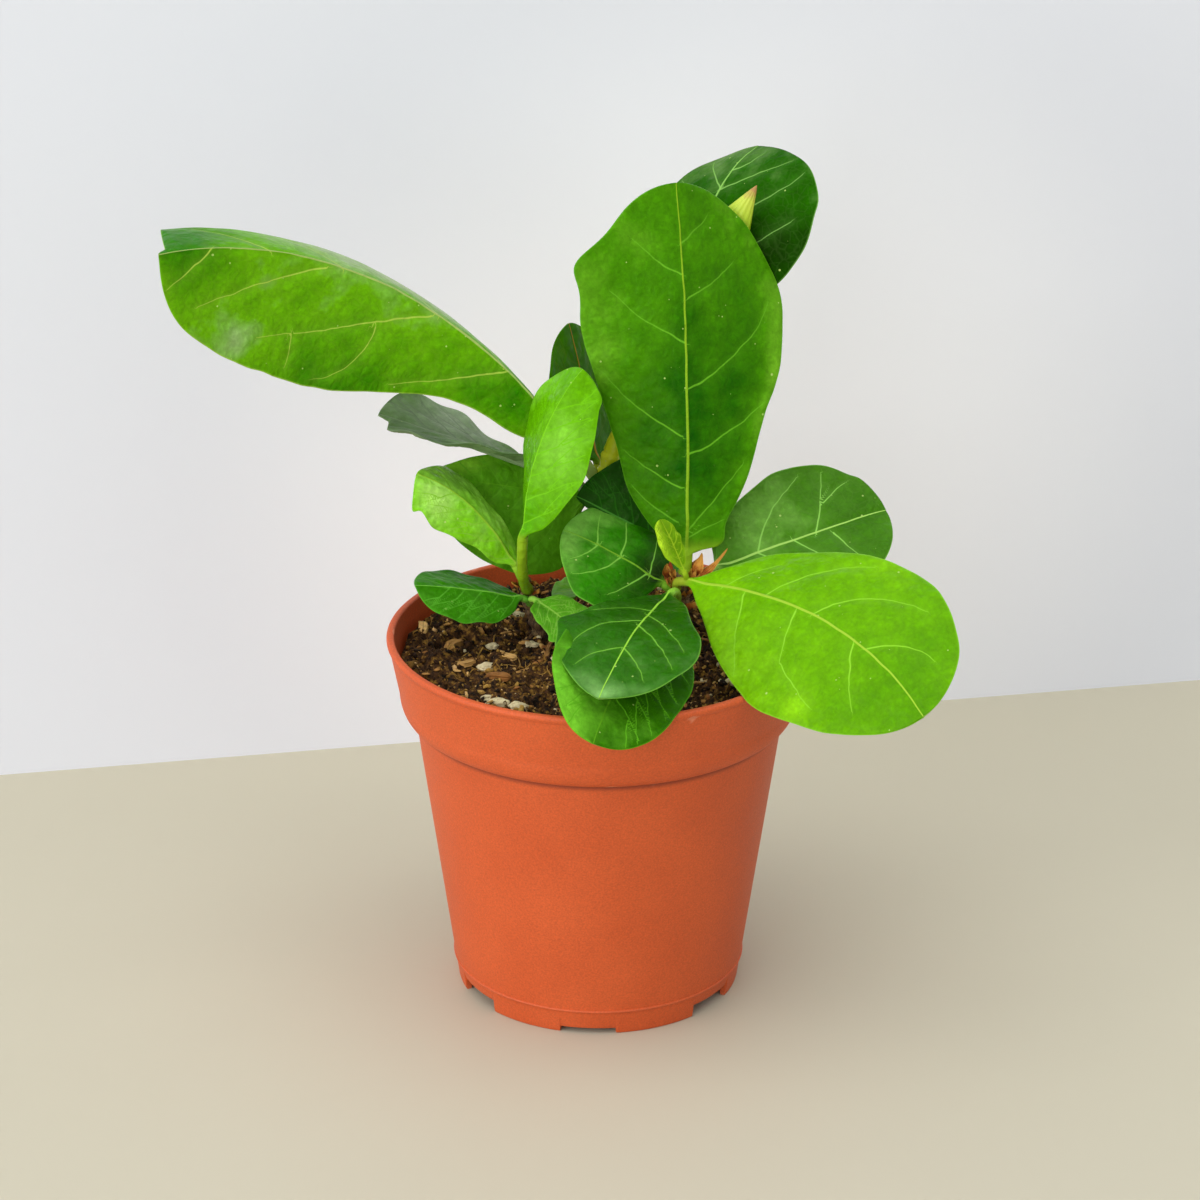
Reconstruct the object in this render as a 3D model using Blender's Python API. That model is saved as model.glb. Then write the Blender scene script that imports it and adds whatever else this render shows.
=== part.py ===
"""A young fiddle leaf fig in a thin round nursery pot.

Three shoots stand in the soil: a tall one at the back, and a low one at each side of it. Each leaf
is one thin solid with its stalk. Lengths are in millimetres and angles in degrees until MM turns
them to metres. x is to the right, y to the back and z up, measured from the pot's axis and foot.
"""

import math
import random

import bmesh
import bpy
from mathutils import Euler, Vector

MM = 0.001
GAP = 0.3  # between pieces that touch

# The pot's axis from the part's origin, which is below the middle of the whole plant
POT_X = 11.7
POT_Y = -3.9

POT_HEIGHT = 93.0
RIM_RADIUS = 52.5
COLLAR_FOOT_RADIUS = 49.4
COLLAR_FOOT_HEIGHT = 72.6
BODY_TOP_RADIUS = 45.7
FOOT_RADIUS = 35.5
WALL = 1.1
BASE_HEIGHT = 3.4
BASE_THICKNESS = 1.4
POT_SEGMENTS = 72
RING_HEIGHT = 6.6  # a fine raised ring above the foot
RING_PROUD = 0.4
NOTCHES = ((180, 3.0), (302, 3.0), (53, 3.0), (356, 1.4), (116, 1.4), (240, 1.4))  # turn, height
NOTCH_WIDTH = 14.0
DRAIN_HOLES = 8
DRAIN_RADIUS = 3.6
DRAIN_CIRCLE = 26.0

SOIL_EDGE = 83.6  # height of the soil at the wall
SOIL_DOME = 1.4  # how much higher it is in the middle
SOIL_SEGMENTS = 48

# A stem: its points with the radius at each, from the buried end up
STEMS = {
    "stem_main": (
        ((6, 14, 56), 0.8),
        ((5.5, 15.5, 72), 2.4),
        ((5, 17, 88), 3.1),
        ((3, 19, 106), 2.9),
        ((1.5, 19.5, 118), 2.9),
        ((1, 19.5, 125), 2.6),
    ),
    "stem_young": (
        ((1.3, 19.5, 125.9), 2.3),
        ((3.5, 20.5, 134), 2.3),
        ((10, 24, 148), 2.0),
        ((20, 29.6, 163.7), 1.8),
        ((32.5, 34.3, 179.1), 1.5),
    ),
    "stem_right": (
        ((13, 4, 60), 0.8),
        ((14, 3.5, 74), 2.0),
        ((16, 2.5, 88), 2.5),
        ((18.8, 1.5, 98), 2.4),
        ((20.3, 1, 107.5), 2.2),
    ),
    "stem_left": (
        ((-12, 14, 62), 0.7),
        ((-13, 13, 75), 1.4),
        ((-14.5, 12.5, 87), 1.8),
        ((-17, 11, 96), 1.8),
        ((-18.6, 10, 102.6), 1.6),
    ),
}

# A leaf: length and width of the blade, the place of its base, the compass heading (0 is to the
# back, 90 to the right) and rise of its midrib there, how far that droops (evenly with a bend of 1,
# mostly near the tip with 3) and sweeps round on the way to the tip, the roll and twist about it, the
# fold and cup of its two halves, and its outline: where it is widest, how full it is at base and tip,
# the right half's extra share, and lobes as (side, place, spread, height). The stalk, of the given
# radius, joins the stem at the given height.
LEAVES = {
    "leaf_long_left": dict(
        length=123, width=54, at=(-6.8, 20, 134.3), heading=-93.5, rise=55, droop=58, bend=1.3, sweep=-22.5,
        roll=-35, twist=-12, fold=-38, cup=-12, widest=0.69, base=1.2, tip=0.36, share=-0.14,
        lobes=((1, 0.9, 0.07, 5.3), (-1, 0.98, 0.07, 2)),
        stem="stem_main", joins=123.5, stalk=1.5,
    ),
    "leaf_grey_left": dict(
        length=47.5, width=35.5, at=(-10.5, 22, 126.5), heading=-89, rise=20, droop=4, bend=1.3, sweep=10,
        roll=22, twist=-23, fold=4, cup=3, widest=0.65, base=1.14, tip=0.51, share=0.03,
        lobes=(),
        stem="stem_main", joins=113, stalk=1.2,
    ),
    "leaf_tall_centre": dict(
        length=89, width=52, at=(22.1, 4.6, 115), heading=2, rise=80, droop=10, bend=1.3, sweep=-18,
        roll=-1, twist=7, fold=-12, cup=-3, widest=0.62, base=0.55, tip=0.48, share=0.0,
        lobes=((-1, 0.79, 0.07, 4.5), (-1, 0.36, 0.15, -1.7), (1, 0.31, 0.15, -1.1)),
        stem="stem_right", joins=105, stalk=1.5,
    ),
    "leaf_top_back": dict(
        length=48.5, width=48.5, at=(22, 37.5, 164.5), heading=15, rise=69, droop=51, bend=1.3, sweep=29,
        roll=-2, twist=-14, fold=-5, cup=-1, widest=0.61, base=0.39, tip=0.5, share=0.22,
        lobes=((1, 0.86, 0.08, 1),),
        stem="stem_young", joins=152, stalk=1.2,
    ),
    "leaf_back_upright": dict(
        length=32.5, width=27.5, at=(-1, 24.5, 131.5), heading=-48, rise=75, droop=3, bend=1.3, sweep=-2,
        roll=13, twist=-1, fold=-3, cup=-2, widest=0.62, base=0.5, tip=0.52, share=-0.01,
        lobes=(),
        stem="stem_main", joins=121, stalk=1.1,
    ),
    "leaf_bright_upright": dict(
        length=45.5, width=27, at=(-18.6, -1.6, 118), heading=42.5, rise=83, droop=40, bend=1.3, sweep=12,
        roll=-24, twist=45, fold=-22, cup=-3, widest=0.49, base=0.8, tip=0.46, share=-0.04,
        lobes=((-1, 0.82, 0.08, 2.1),),
        stem="stem_left", joins=100.3, stalk=1.4,
    ),
    "leaf_glossy_left": dict(
        length=34.5, width=20, at=(-21.2, 7.6, 107.9), heading=-83, rise=61, droop=41, bend=1.3, sweep=-3,
        roll=-29, twist=3, fold=-15, cup=-14, widest=0.7, base=0.55, tip=0.49, share=0.01,
        lobes=((-1, 0.91, 0.08, 1.2), (1, 0.85, 0.08, 0.8)),
        stem="stem_left", joins=101.5, stalk=1.0,
    ),
    "leaf_olive_back": dict(
        length=40, width=29.2, at=(-3, 24.3, 118.9), heading=-95, rise=9, droop=5, bend=1.3, sweep=3,
        roll=-65, twist=1, fold=-4, cup=0, widest=0.35, base=0.21, tip=0.5, share=-0.47,
        lobes=(),
        stem="stem_main", joins=108, stalk=1.2,
    ),
    "leaf_low_left": dict(
        length=28, width=23, at=(-20.5, 7.3, 99), heading=-109, rise=17, droop=9, bend=1.3, sweep=1,
        roll=-14, twist=1, fold=-8, cup=-5, widest=0.61, base=0.57, tip=0.48, share=-0.03,
        lobes=(),
        stem="stem_left", joins=96, stalk=0.9,
    ),
    "leaf_round_middle": dict(
        length=28, width=36.5, at=(15.3, -0.8, 106.1), heading=-77.5, rise=32, droop=16, bend=1.3, sweep=0,
        roll=-22, twist=0, fold=0, cup=0, widest=0.47, base=0.89, tip=0.54, share=-0.02,
        lobes=(),
        stem="stem_right", joins=103, stalk=1.1,
    ),
    "leaf_veined_front": dict(
        length=52.3, width=32.6, at=(17.2, -10.2, 107.5), heading=-160, rise=6, droop=28.5, bend=1.3,
        sweep=-1, roll=-2, twist=-3, fold=-1, cup=0, widest=0.6, base=1.0, tip=0.58, share=-0.07,
        lobes=(),
        stem="stem_right", joins=101, stalk=1.0,
    ),
    "leaf_drooping_front": dict(
        length=59, width=34, at=(14.6, -8.2, 102.1), heading=-165, rise=0, droop=43, bend=2.6, sweep=4,
        roll=-14, twist=-17, fold=4, cup=-1, widest=0.58, base=0.99, tip=0.4, share=0.0,
        lobes=(),
        stem="stem_right", joins=97, stalk=1.1,
    ),
    "leaf_dark_right": dict(
        length=46.5, width=38.5, at=(28.4, 8, 106.5), heading=69, rise=13, droop=4, bend=1.3, sweep=0,
        roll=26, twist=3, fold=6, cup=1, widest=0.64, base=0.55, tip=0.53, share=-0.01,
        lobes=((-1, 0.55, 0.1, 0.7), (-1, 0.9, 0.08, 1.5)),
        stem="stem_right", joins=102.5, stalk=1.2,
    ),
    "leaf_lime_right": dict(
        length=78.5, width=50, at=(24.1, -5.7, 107.8), heading=123, rise=9, droop=37, bend=1.3, sweep=27,
        roll=18, twist=20, fold=-3, cup=-2, widest=0.55, base=0.65, tip=0.48, share=0.1,
        lobes=(),
        stem="stem_right", joins=103.5, stalk=1.4,
    ),
    "leaf_young_folded": dict(
        length=14, width=7.4, at=(20.3, -4.4, 111.2), heading=-40, rise=52, droop=3, bend=1.3, sweep=-2,
        roll=-17, twist=-2, fold=24, cup=-4, widest=0.6, base=0.94, tip=0.49, share=-0.05,
        lobes=(),
        stem="stem_right", joins=107, stalk=0.7,
    ),
    "leaf_small_front": dict(
        length=17.5, width=14.5, at=(-14.7, 5.2, 98.6), heading=134, rise=-6, droop=22, bend=1.3, sweep=3,
        roll=8, twist=7, fold=11, cup=-1, widest=0.64, base=0.65, tip=0.49, share=-0.01,
        lobes=(),
        stem="stem_left", joins=95.5, stalk=0.8,
    ),
    "leaf_small_middle": dict(
        length=8, width=12, at=(-4, 12, 99), heading=-89, rise=1, droop=15, bend=1.3, sweep=1,
        roll=-8, twist=1, fold=3, cup=2, widest=0.61, base=0.97, tip=0.49, share=0.01,
        lobes=(),
        stem="stem_main", joins=97, stalk=0.7,
    ),
    "leaf_dark_middle": dict(
        length=23, width=19, at=(14, 8, 114.5), heading=-86, rise=34, droop=11, bend=1.3, sweep=6,
        roll=-60, twist=0, fold=1, cup=0, widest=0.63, base=1.0, tip=0.54, share=0.35,
        lobes=(),
        stem="stem_right", joins=105.5, stalk=1.0,
    ),
}
BLADE_ROWS = 13
STALK_ROWS = 4
BLADE_HALF_THICKNESS = 0.24
BLADE_LEAST_HALF_WIDTH = 0.25  # at the tip, where the outline closes
BLADE_START = 0.08  # share of the length over which the round stalk flattens into the blade
STALK_CLEARANCE = 0.25  # beyond GAP, because a stalk leaves its stem at a slant
# Round a leaf's section: place across from -1 to 1, and which face the point is on
SECTION = ((-1, 0), (-0.55, 1), (0, 1), (0.55, 1), (1, 0), (0.55, -1), (0, -1), (-0.55, -1))

# A scale is a small pointed sheath: base, tip, width, and how far its middle bows outwards
SCALES = {
    "bud_top": ((30.2, 39, 180.8), (38.3, 39.2, 195.8), 8.6, (0, 0, 0)),
    "bud_left": ((-18.8, 9.9, 103.2), (-18.9, 9.4, 107), 2.2, (0, 0, 0)),
    "bud_side": ((5.6, 20.6, 129.2), (6.9, 20.2, 132.8), 1.7, (0, 0, 0)),
    "scale_long": ((24.6, 1.9, 107.2), (31.4, 4, 113.8), 3, (1.2, 0, -1.6)),
    "scale_back": ((24.4, 4.8, 108.4), (28, 5.6, 114.6), 5, (0.8, 0, -0.6)),
    "scale_front": ((21.4, -2.4, 100.6), (24.4, -5, 102), 2.6, (0.4, 0, 0.5)),
    "scale_left": ((17.2, 0.9, 107.4), (16.6, -0.4, 111.4), 2.4, (-0.7, 0, 0)),
    "scale_right": ((23.3, 0.6, 105.6), (27.2, -0.6, 108.6), 1.8, (0.3, 0, 0.4)),
}
SCALE_SIDES = 8

# Loose pieces on the soil: place, size along, across and up, and turn about z
BARK = {
    "bark_1": ((-44, 13.4), (6.0, 2.6, 1.8), 80),
    "bark_2": ((-36.6, 5.1), (7.0, 3.0, 2.2), 62),
    "bark_3": ((-33, -6), (5.5, 1.8, 1.2), 25),
    "bark_4": ((-24.4, -14.5), (6.0, 2.2, 1.5), -5),
    "bark_5": ((-22.6, -2.6), (4.5, 2.2, 1.4), 150),
    "bark_6": ((30, 22), (6.0, 2.6, 1.6), 40),
    "twig": ((-12.5, 2.2), (11.0, 1.2, 1.0), 80),
}
PERLITE = {
    "perlite_1": ((-26.4, 5.8), 2.6),
    "perlite_2": ((-17.2, 7.1), 3.0),
    "perlite_3": ((-28.3, -7.4), 3.4),
    "perlite_4": ((-24.2, -25.2), 4.2),
    "perlite_5": ((-19.3, -29.3), 3.6),
    "perlite_6": ((-27, -19.9), 2.6),
    "perlite_7": ((-20.6, 24.3), 2.8),
    "perlite_8": ((26.6, -12.8), 2.6),
    "perlite_9": ((32.2, -15.8), 2.6),
    "perlite_10": ((20, 34), 3.0),
}

SURFACES = {  # colour, roughness
    "pot_plastic": ((0.46, 0.10, 0.045), 0.5),
    "peat": ((0.035, 0.02, 0.012), 0.95),
    "woody_bark": ((0.09, 0.05, 0.025), 0.8),
    "green_stem": ((0.30, 0.36, 0.05), 0.45),
    "leaf_dark": ((0.03, 0.12, 0.012), 0.35),
    "leaf_mid": ((0.06, 0.22, 0.015), 0.35),
    "leaf_bright": ((0.14, 0.40, 0.02), 0.35),
    "dry_scale": ((0.18, 0.07, 0.02), 0.8),
    "bark_chip": ((0.30, 0.16, 0.08), 0.85),
    "perlite_white": ((0.72, 0.68, 0.58), 0.9),
}
BRIGHT_LEAVES = ("leaf_bright_upright", "leaf_glossy_left", "leaf_lime_right", "leaf_young_folded")
MID_LEAVES = ("leaf_long_left", "leaf_tall_centre", "leaf_small_front", "leaf_low_left")


def clear_scene():
    for obj in list(bpy.data.objects):
        bpy.data.objects.remove(obj, do_unlink=True)


def material(name):
    """The Principled material of this name, made once."""
    made = bpy.data.materials.get(name)
    if made:
        return made
    colour, roughness = SURFACES[name]
    made = bpy.data.materials.new(name)
    made.use_nodes = True
    shader = made.node_tree.nodes["Principled BSDF"]
    shader.inputs["Base Color"].default_value = (*colour, 1)
    shader.inputs["Roughness"].default_value = roughness
    return made


def add_piece(name, mesh_data, surface, centre):
    """An object made from a bmesh in millimetres, parented to the empty on the pot's axis."""
    bmesh.ops.scale(mesh_data, vec=(MM, MM, MM), verts=mesh_data.verts)
    mesh = bpy.data.meshes.new(name)
    mesh_data.to_mesh(mesh)
    mesh_data.free()
    mesh.shade_smooth()
    mesh.set_sharp_from_angle(angle=math.radians(40))
    mesh.materials.append(material(surface))
    obj = bpy.data.objects.new(name, mesh)
    bpy.context.scene.collection.objects.link(obj)
    obj.parent = centre
    return obj


def skin_rings(rings):
    """A closed bmesh over rings of points that run the same way round; a ring of one is a pole."""
    made = bmesh.new()
    loops = [[made.verts.new(point) for point in ring] for ring in rings]
    for lower, upper in zip(loops, loops[1:]):
        count = max(len(lower), len(upper))
        for i in range(count):
            j = (i + 1) % count
            corners = [lower[i % len(lower)], lower[j % len(lower)]]
            corners += [upper[j % len(upper)], upper[i % len(upper)]]
            made.faces.new(dict.fromkeys(corners))
    for end in (loops[0], loops[-1]):
        if len(end) > 2:
            made.faces.new(end)
    bmesh.ops.recalc_face_normals(made, faces=made.faces)
    return made


def turned(profile, segments):
    """A solid turned about z from (radius, height) points that start and end on the axis."""
    rings = []
    for radius, height in profile:
        if radius == 0:
            rings.append([Vector((0, 0, height))])
            continue
        angles = [2 * math.pi * i / segments for i in range(segments)]
        rings.append([Vector((radius * math.sin(a), -radius * math.cos(a), height)) for a in angles])
    return skin_rings(rings)


def frame_along(along):
    """Two unit vectors across a direction, the first level with the ground."""
    across = along.cross(Vector((0, 0, 1)))
    if across.length < 0.01:
        across = Vector((1, 0, 0))
    across.normalize()
    return across, across.cross(along).normalized()


def smooth_path(points, steps):
    """Points of a Catmull-Rom curve through the given ones, each a place and a radius."""
    rows = [Vector((*place, radius)) for place, radius in points]
    rows = [2 * rows[0] - rows[1], *rows, 2 * rows[-1] - rows[-2]]
    path = []
    for before, start, end, after in zip(rows, rows[1:], rows[2:], rows[3:]):
        for step in range(steps):
            u = step / steps
            path.append(
                0.5
                * (
                    2 * start
                    + (end - before) * u
                    + (2 * before - 5 * start + 4 * end - after) * u**2
                    + (3 * start - before - 3 * end + after) * u**3
                )
            )
    path.append(rows[-2])
    return [(Vector(row[:3]), row[3]) for row in path]


def tube(path, sides, extra=0.0):
    """A tube along a path of places and radii, its radius larger by extra."""
    rings = []
    for i, (place, radius) in enumerate(path):
        ahead = path[min(i + 1, len(path) - 1)][0]
        behind = path[max(i - 1, 0)][0]
        across, up = frame_along((ahead - behind).normalized())
        ring = []
        for k in range(sides):
            angle = 2 * math.pi * k / sides
            ring.append(place + (across * math.cos(angle) + up * math.sin(angle)) * (radius + extra))
        rings.append(ring)
    return skin_rings(rings)


def outer_radius(height):
    """The pot body's outer radius at a height below the collar."""
    return FOOT_RADIUS + (BODY_TOP_RADIUS - FOOT_RADIUS) * height / COLLAR_FOOT_HEIGHT


def collar_radius(height):
    """The collar's outer radius at a height."""
    share = (height - COLLAR_FOOT_HEIGHT) / (POT_HEIGHT - COLLAR_FOOT_HEIGHT)
    return COLLAR_FOOT_RADIUS + (RIM_RADIUS - 0.4 - COLLAR_FOOT_RADIUS) * share


def build_pot(centre):
    floor_top = BASE_HEIGHT + BASE_THICKNESS
    step_top = COLLAR_FOOT_HEIGHT + WALL
    profile = [
        (0, BASE_HEIGHT),
        (FOOT_RADIUS - 1.6, BASE_HEIGHT),
        (FOOT_RADIUS - 1.2, 0),
        (FOOT_RADIUS, 0),
        (outer_radius(RING_HEIGHT - 0.4), RING_HEIGHT - 0.4),
        (outer_radius(RING_HEIGHT) + RING_PROUD, RING_HEIGHT - 0.2),
        (outer_radius(RING_HEIGHT) + RING_PROUD, RING_HEIGHT + 0.3),
        (outer_radius(RING_HEIGHT + 0.6), RING_HEIGHT + 0.6),
        (BODY_TOP_RADIUS, COLLAR_FOOT_HEIGHT),
        (COLLAR_FOOT_RADIUS - 0.6, COLLAR_FOOT_HEIGHT),
        (collar_radius(COLLAR_FOOT_HEIGHT + 0.8), COLLAR_FOOT_HEIGHT + 0.8),
        (collar_radius(POT_HEIGHT - 2), POT_HEIGHT - 2),
        (RIM_RADIUS, POT_HEIGHT - 1.4),
        (RIM_RADIUS, POT_HEIGHT - 0.4),
        (RIM_RADIUS - 0.4, POT_HEIGHT),
        (RIM_RADIUS - 1.4, POT_HEIGHT),
        (RIM_RADIUS - 1.8, POT_HEIGHT - 0.6),
        (collar_radius(step_top) - WALL, step_top),
        (outer_radius(COLLAR_FOOT_HEIGHT) - WALL, step_top - 0.4),
        (outer_radius(floor_top) - WALL, floor_top),
        (0, floor_top),
    ]
    pot = add_piece("pot", turned(profile, POT_SEGMENTS), "pot_plastic", centre)
    cutters = bmesh.new()
    for turn, height in NOTCHES:
        angle = math.radians(turn)
        place = Vector((math.sin(angle), -math.cos(angle), 0)) * FOOT_RADIUS
        box = bmesh.ops.create_cube(cutters, size=1)["verts"]
        bmesh.ops.scale(cutters, vec=(NOTCH_WIDTH, 6, 2 * height), verts=box)
        spin = Euler((0, 0, angle)).to_matrix()
        bmesh.ops.rotate(cutters, matrix=spin, verts=box)
        bmesh.ops.translate(cutters, vec=place, verts=box)
    for i in range(DRAIN_HOLES):
        angle = 2 * math.pi * (i + 0.5) / DRAIN_HOLES
        place = Vector((math.sin(angle), math.cos(angle), 0)) * DRAIN_CIRCLE
        place.z = BASE_HEIGHT + BASE_THICKNESS / 2
        hole = bmesh.ops.create_cone(
            cutters, cap_ends=True, segments=16, radius1=DRAIN_RADIUS, radius2=DRAIN_RADIUS, depth=4
        )["verts"]
        bmesh.ops.translate(cutters, vec=place, verts=hole)
    cut_from(pot, "pot_cutters", cutters, centre)
    return pot


def cut_from(obj, name, mesh_data, centre):
    """A Boolean difference on obj, by a hidden object made from mesh_data."""
    cutter = add_piece(name, mesh_data, "pot_plastic", centre)
    cutter.hide_render = True
    cutter.display_type = "WIRE"
    boolean = obj.modifiers.new(name, "BOOLEAN")
    boolean.operation = "DIFFERENCE"
    boolean.solver = "EXACT"
    boolean.object = cutter


def soil_height(x, y):
    """The soil's surface, a low dome."""
    return SOIL_EDGE + SOIL_DOME * (1 - (math.hypot(x, y) / COLLAR_FOOT_RADIUS) ** 2)


def build_soil(centre):
    floor_top = BASE_HEIGHT + BASE_THICKNESS + GAP
    step_top = COLLAR_FOOT_HEIGHT + WALL + GAP
    inset = WALL + GAP
    edge = collar_radius(SOIL_EDGE) - inset - 0.1
    profile = [
        (0, floor_top),
        (outer_radius(floor_top) - inset, floor_top),
        (outer_radius(COLLAR_FOOT_HEIGHT) - inset, step_top),
        (collar_radius(step_top) - inset - 0.1, step_top + 0.2),
        (edge, soil_height(edge, 0)),
        *((radius, soil_height(radius, 0)) for radius in (40, 30, 20, 10)),
        (0, soil_height(0, 0)),
    ]
    soil = add_piece("soil", turned(profile, SOIL_SEGMENTS), "peat", centre)
    for name in ("stem_main", "stem_right", "stem_left"):
        socket = [row for row in smooth_path(STEMS[name], 3) if row[0].z < POT_HEIGHT]
        buried_end = (socket[0][0] - (socket[1][0] - socket[0][0]).normalized() * GAP, socket[0][1])
        cut_from(soil, name + "_socket", tube([buried_end, *socket], 10, extra=GAP), centre)


def stem_at(name, height):
    """Where a stem's middle line is at a height, with its radius there."""
    path = smooth_path(STEMS[name], 3)
    for (low, low_radius), (high, high_radius) in zip(path, path[1:]):
        if low.z <= height <= high.z:
            share = (height - low.z) / (high.z - low.z)
            return low.lerp(high, share), low_radius + (high_radius - low_radius) * share
    return path[-1]


def leaf_frame(leaf, place):
    """Along, right and up vectors of a leaf at a place along its midrib, from 0 to 1."""
    heading = math.radians(leaf["heading"] + leaf["sweep"] * place)
    rise = math.radians(leaf["rise"] - leaf["droop"] * place ** leaf["bend"])
    roll = math.radians(leaf["roll"] + leaf["twist"] * place)
    level = Vector((math.sin(heading), math.cos(heading), 0))
    along = level * math.cos(rise) + Vector((0, 0, math.sin(rise)))
    up = Vector((0, 0, math.cos(rise))) - level * math.sin(rise)
    right = Vector((math.cos(heading), -math.sin(heading), 0))
    return along, right * math.cos(roll) - up * math.sin(roll), up * math.cos(roll) + right * math.sin(roll)


def half_width(leaf, place, side):
    """Quarter sine from the base to the widest place, quarter cosine to the tip, and the lobes."""
    widest = leaf["widest"]
    if place <= widest:
        share = math.sin(math.pi / 2 * place / widest) ** leaf["base"]
    else:
        share = max(0.0, math.cos(math.pi / 2 * (place - widest) / (1 - widest))) ** leaf["tip"]
    width = leaf["width"] / 2 * share * (1 + leaf["share"] * side)
    for lobe_side, middle, spread, height in leaf["lobes"]:
        if lobe_side == side and 0 < place < 1:
            width += height * math.exp(-(((place - middle) / spread) ** 2))
    return width


def section_arc(leaf, across):
    """How far out and up a point across a half blade lies, for a half width of one."""
    fold = math.radians(leaf["fold"])
    cup = math.radians(leaf["cup"]) or 1e-6
    out = (math.sin(fold + cup * across) - math.sin(fold)) / cup
    up = (math.cos(fold) - math.cos(fold + cup * across)) / cup
    return out, up


def leaf_ring(leaf, middle, place, blade):
    """One section of a leaf: round on the stalk where blade is 0, flat on the blade where it is 1."""
    along, right, up = leaf_frame(leaf, place)
    stalk = leaf["stalk"]
    rib = stalk * (1 - place) ** 2 + BLADE_HALF_THICKNESS
    ring = []
    for across, face in SECTION:
        side = 1 if across > 0 else -1
        width = max(half_width(leaf, place, side), BLADE_LEAST_HALF_WIDTH if blade == 1 else stalk)
        out, lift = section_arc(leaf, abs(across))
        depth = BLADE_HALF_THICKNESS if face > 0 or across else rib
        flat = right * side * out * width + up * (lift * width + depth * face)
        angle = math.pi / 2 * across
        round_height = math.cos(angle) * face if face else 0
        round_place = (right * math.sin(angle) + up * round_height) * stalk
        ring.append(middle + round_place.lerp(flat, blade))
    return ring


def build_leaf(name, leaf, centre):
    base = Vector(leaf["at"])
    along = leaf_frame(leaf, 0)[0]
    joint, radius = stem_at(leaf["stem"], leaf["joins"])
    stem_along = (joint - stem_at(leaf["stem"], leaf["joins"] - 2)[0]).normalized()
    leaving = (base - joint).normalized()
    outward = (leaving - leaving.project(stem_along)).normalized()
    clear = radius + GAP + STALK_CLEARANCE + leaf["stalk"] * abs(leaving.dot(stem_along))
    start = joint + outward * clear
    bend = base - along * (base - start).length * 0.5
    rings = []
    for i in range(STALK_ROWS):
        u = i / STALK_ROWS
        place = start * (1 - u) ** 2 + bend * 2 * u * (1 - u) + base * u**2
        heading = (bend - start) * (1 - u) + (base - bend) * u
        across, up = stalk_frame(leaf, heading.normalized())
        rings.append([place + (across * x + up * z) * leaf["stalk"] for x, z in round_section()])
    middle = base
    before = 0.0
    for i in range(BLADE_ROWS + 1):
        place = 1 - (1 - i / BLADE_ROWS) ** 1.5
        step = (place - before) * leaf["length"]
        middle = middle + (leaf_frame(leaf, before)[0] + leaf_frame(leaf, place)[0]) * step / 2
        before = place
        rings.append(leaf_ring(leaf, middle, place, min(1, place / BLADE_START)))
    surface = "leaf_dark"
    if name in BRIGHT_LEAVES:
        surface = "leaf_bright"
    elif name in MID_LEAVES:
        surface = "leaf_mid"
    add_piece(name, skin_rings(rings), surface, centre)


def stalk_frame(leaf, along):
    """The leaf's right and up vectors at its base, turned square to the stalk."""
    right = leaf_frame(leaf, 0)[1]
    right = (right - right.project(along)).normalized()
    return right, right.cross(along).normalized()


def round_section():
    """The points of SECTION on a circle."""
    points = []
    for across, face in SECTION:
        angle = math.pi / 2 * across
        points.append((math.sin(angle), math.cos(angle) * face if face else 0))
    return points


def build_scale(name, centre):
    """A pointed sheath, a little flattened, that bows between its base and its tip."""
    base, tip, width, bow = SCALES[name]
    base, tip, bow = Vector(base), Vector(tip), Vector(bow)
    across, up = frame_along((tip - base).normalized())
    rings = []
    for share, size in ((0, 0.6), (0.2, 0.95), (0.45, 1.0), (0.7, 0.65), (0.9, 0.25), (1, 0.06)):
        place = base.lerp(tip, share) + bow * math.sin(math.pi * share)
        ring = []
        for k in range(SCALE_SIDES):
            angle = 2 * math.pi * k / SCALE_SIDES
            offset = across * math.cos(angle) + up * math.sin(angle) * 0.6
            ring.append(place + offset * size * width / 2)
        rings.append(ring)
    surface = "green_stem" if name.startswith("bud") else "dry_scale"
    add_piece(name, skin_rings(rings), surface, centre)


def build_loose_piece(name, place, size, turn, surface, centre):
    """A rough lump on the soil: a ball of a few faces, stretched, with its corners moved at random."""
    rough = random.Random(name)
    lump = bmesh.new()
    detail = 1 if surface == "perlite_white" else 2
    bmesh.ops.create_icosphere(lump, subdivisions=detail, radius=0.5)
    for corner in lump.verts:
        corner.co *= rough.uniform(0.88, 1.1)
    bmesh.ops.scale(lump, vec=size, verts=lump.verts)
    bmesh.ops.rotate(lump, matrix=Euler((0, 0, math.radians(turn))).to_matrix(), verts=lump.verts)
    lowest = min(corner.co.z for corner in lump.verts)
    ground = soil_height(*place) + GAP - lowest
    bmesh.ops.translate(lump, vec=(*place, ground), verts=lump.verts)
    add_piece(name, lump, surface, centre)


def main():
    clear_scene()
    bpy.context.scene.unit_settings.scale_length = 1.0
    centre = bpy.data.objects.new("pot_axis", None)
    centre.location = (POT_X * MM, POT_Y * MM, 0)
    bpy.context.scene.collection.objects.link(centre)
    build_pot(centre)
    build_soil(centre)
    for name, points in STEMS.items():
        surface = "green_stem" if name == "stem_young" else "woody_bark"
        add_piece(name, tube(smooth_path(points, 3), 10), surface, centre)
    for name, leaf in LEAVES.items():
        build_leaf(name, leaf, centre)
    for name in SCALES:
        build_scale(name, centre)
    for name, (place, size, turn) in BARK.items():
        build_loose_piece(name, place, size, turn, "bark_chip", centre)
    for name, (place, size) in PERLITE.items():
        build_loose_piece(name, place, (size, size * 0.85, size * 0.75), 30, "perlite_white", centre)


main()
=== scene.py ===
import functools
import itertools
import math

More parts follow.
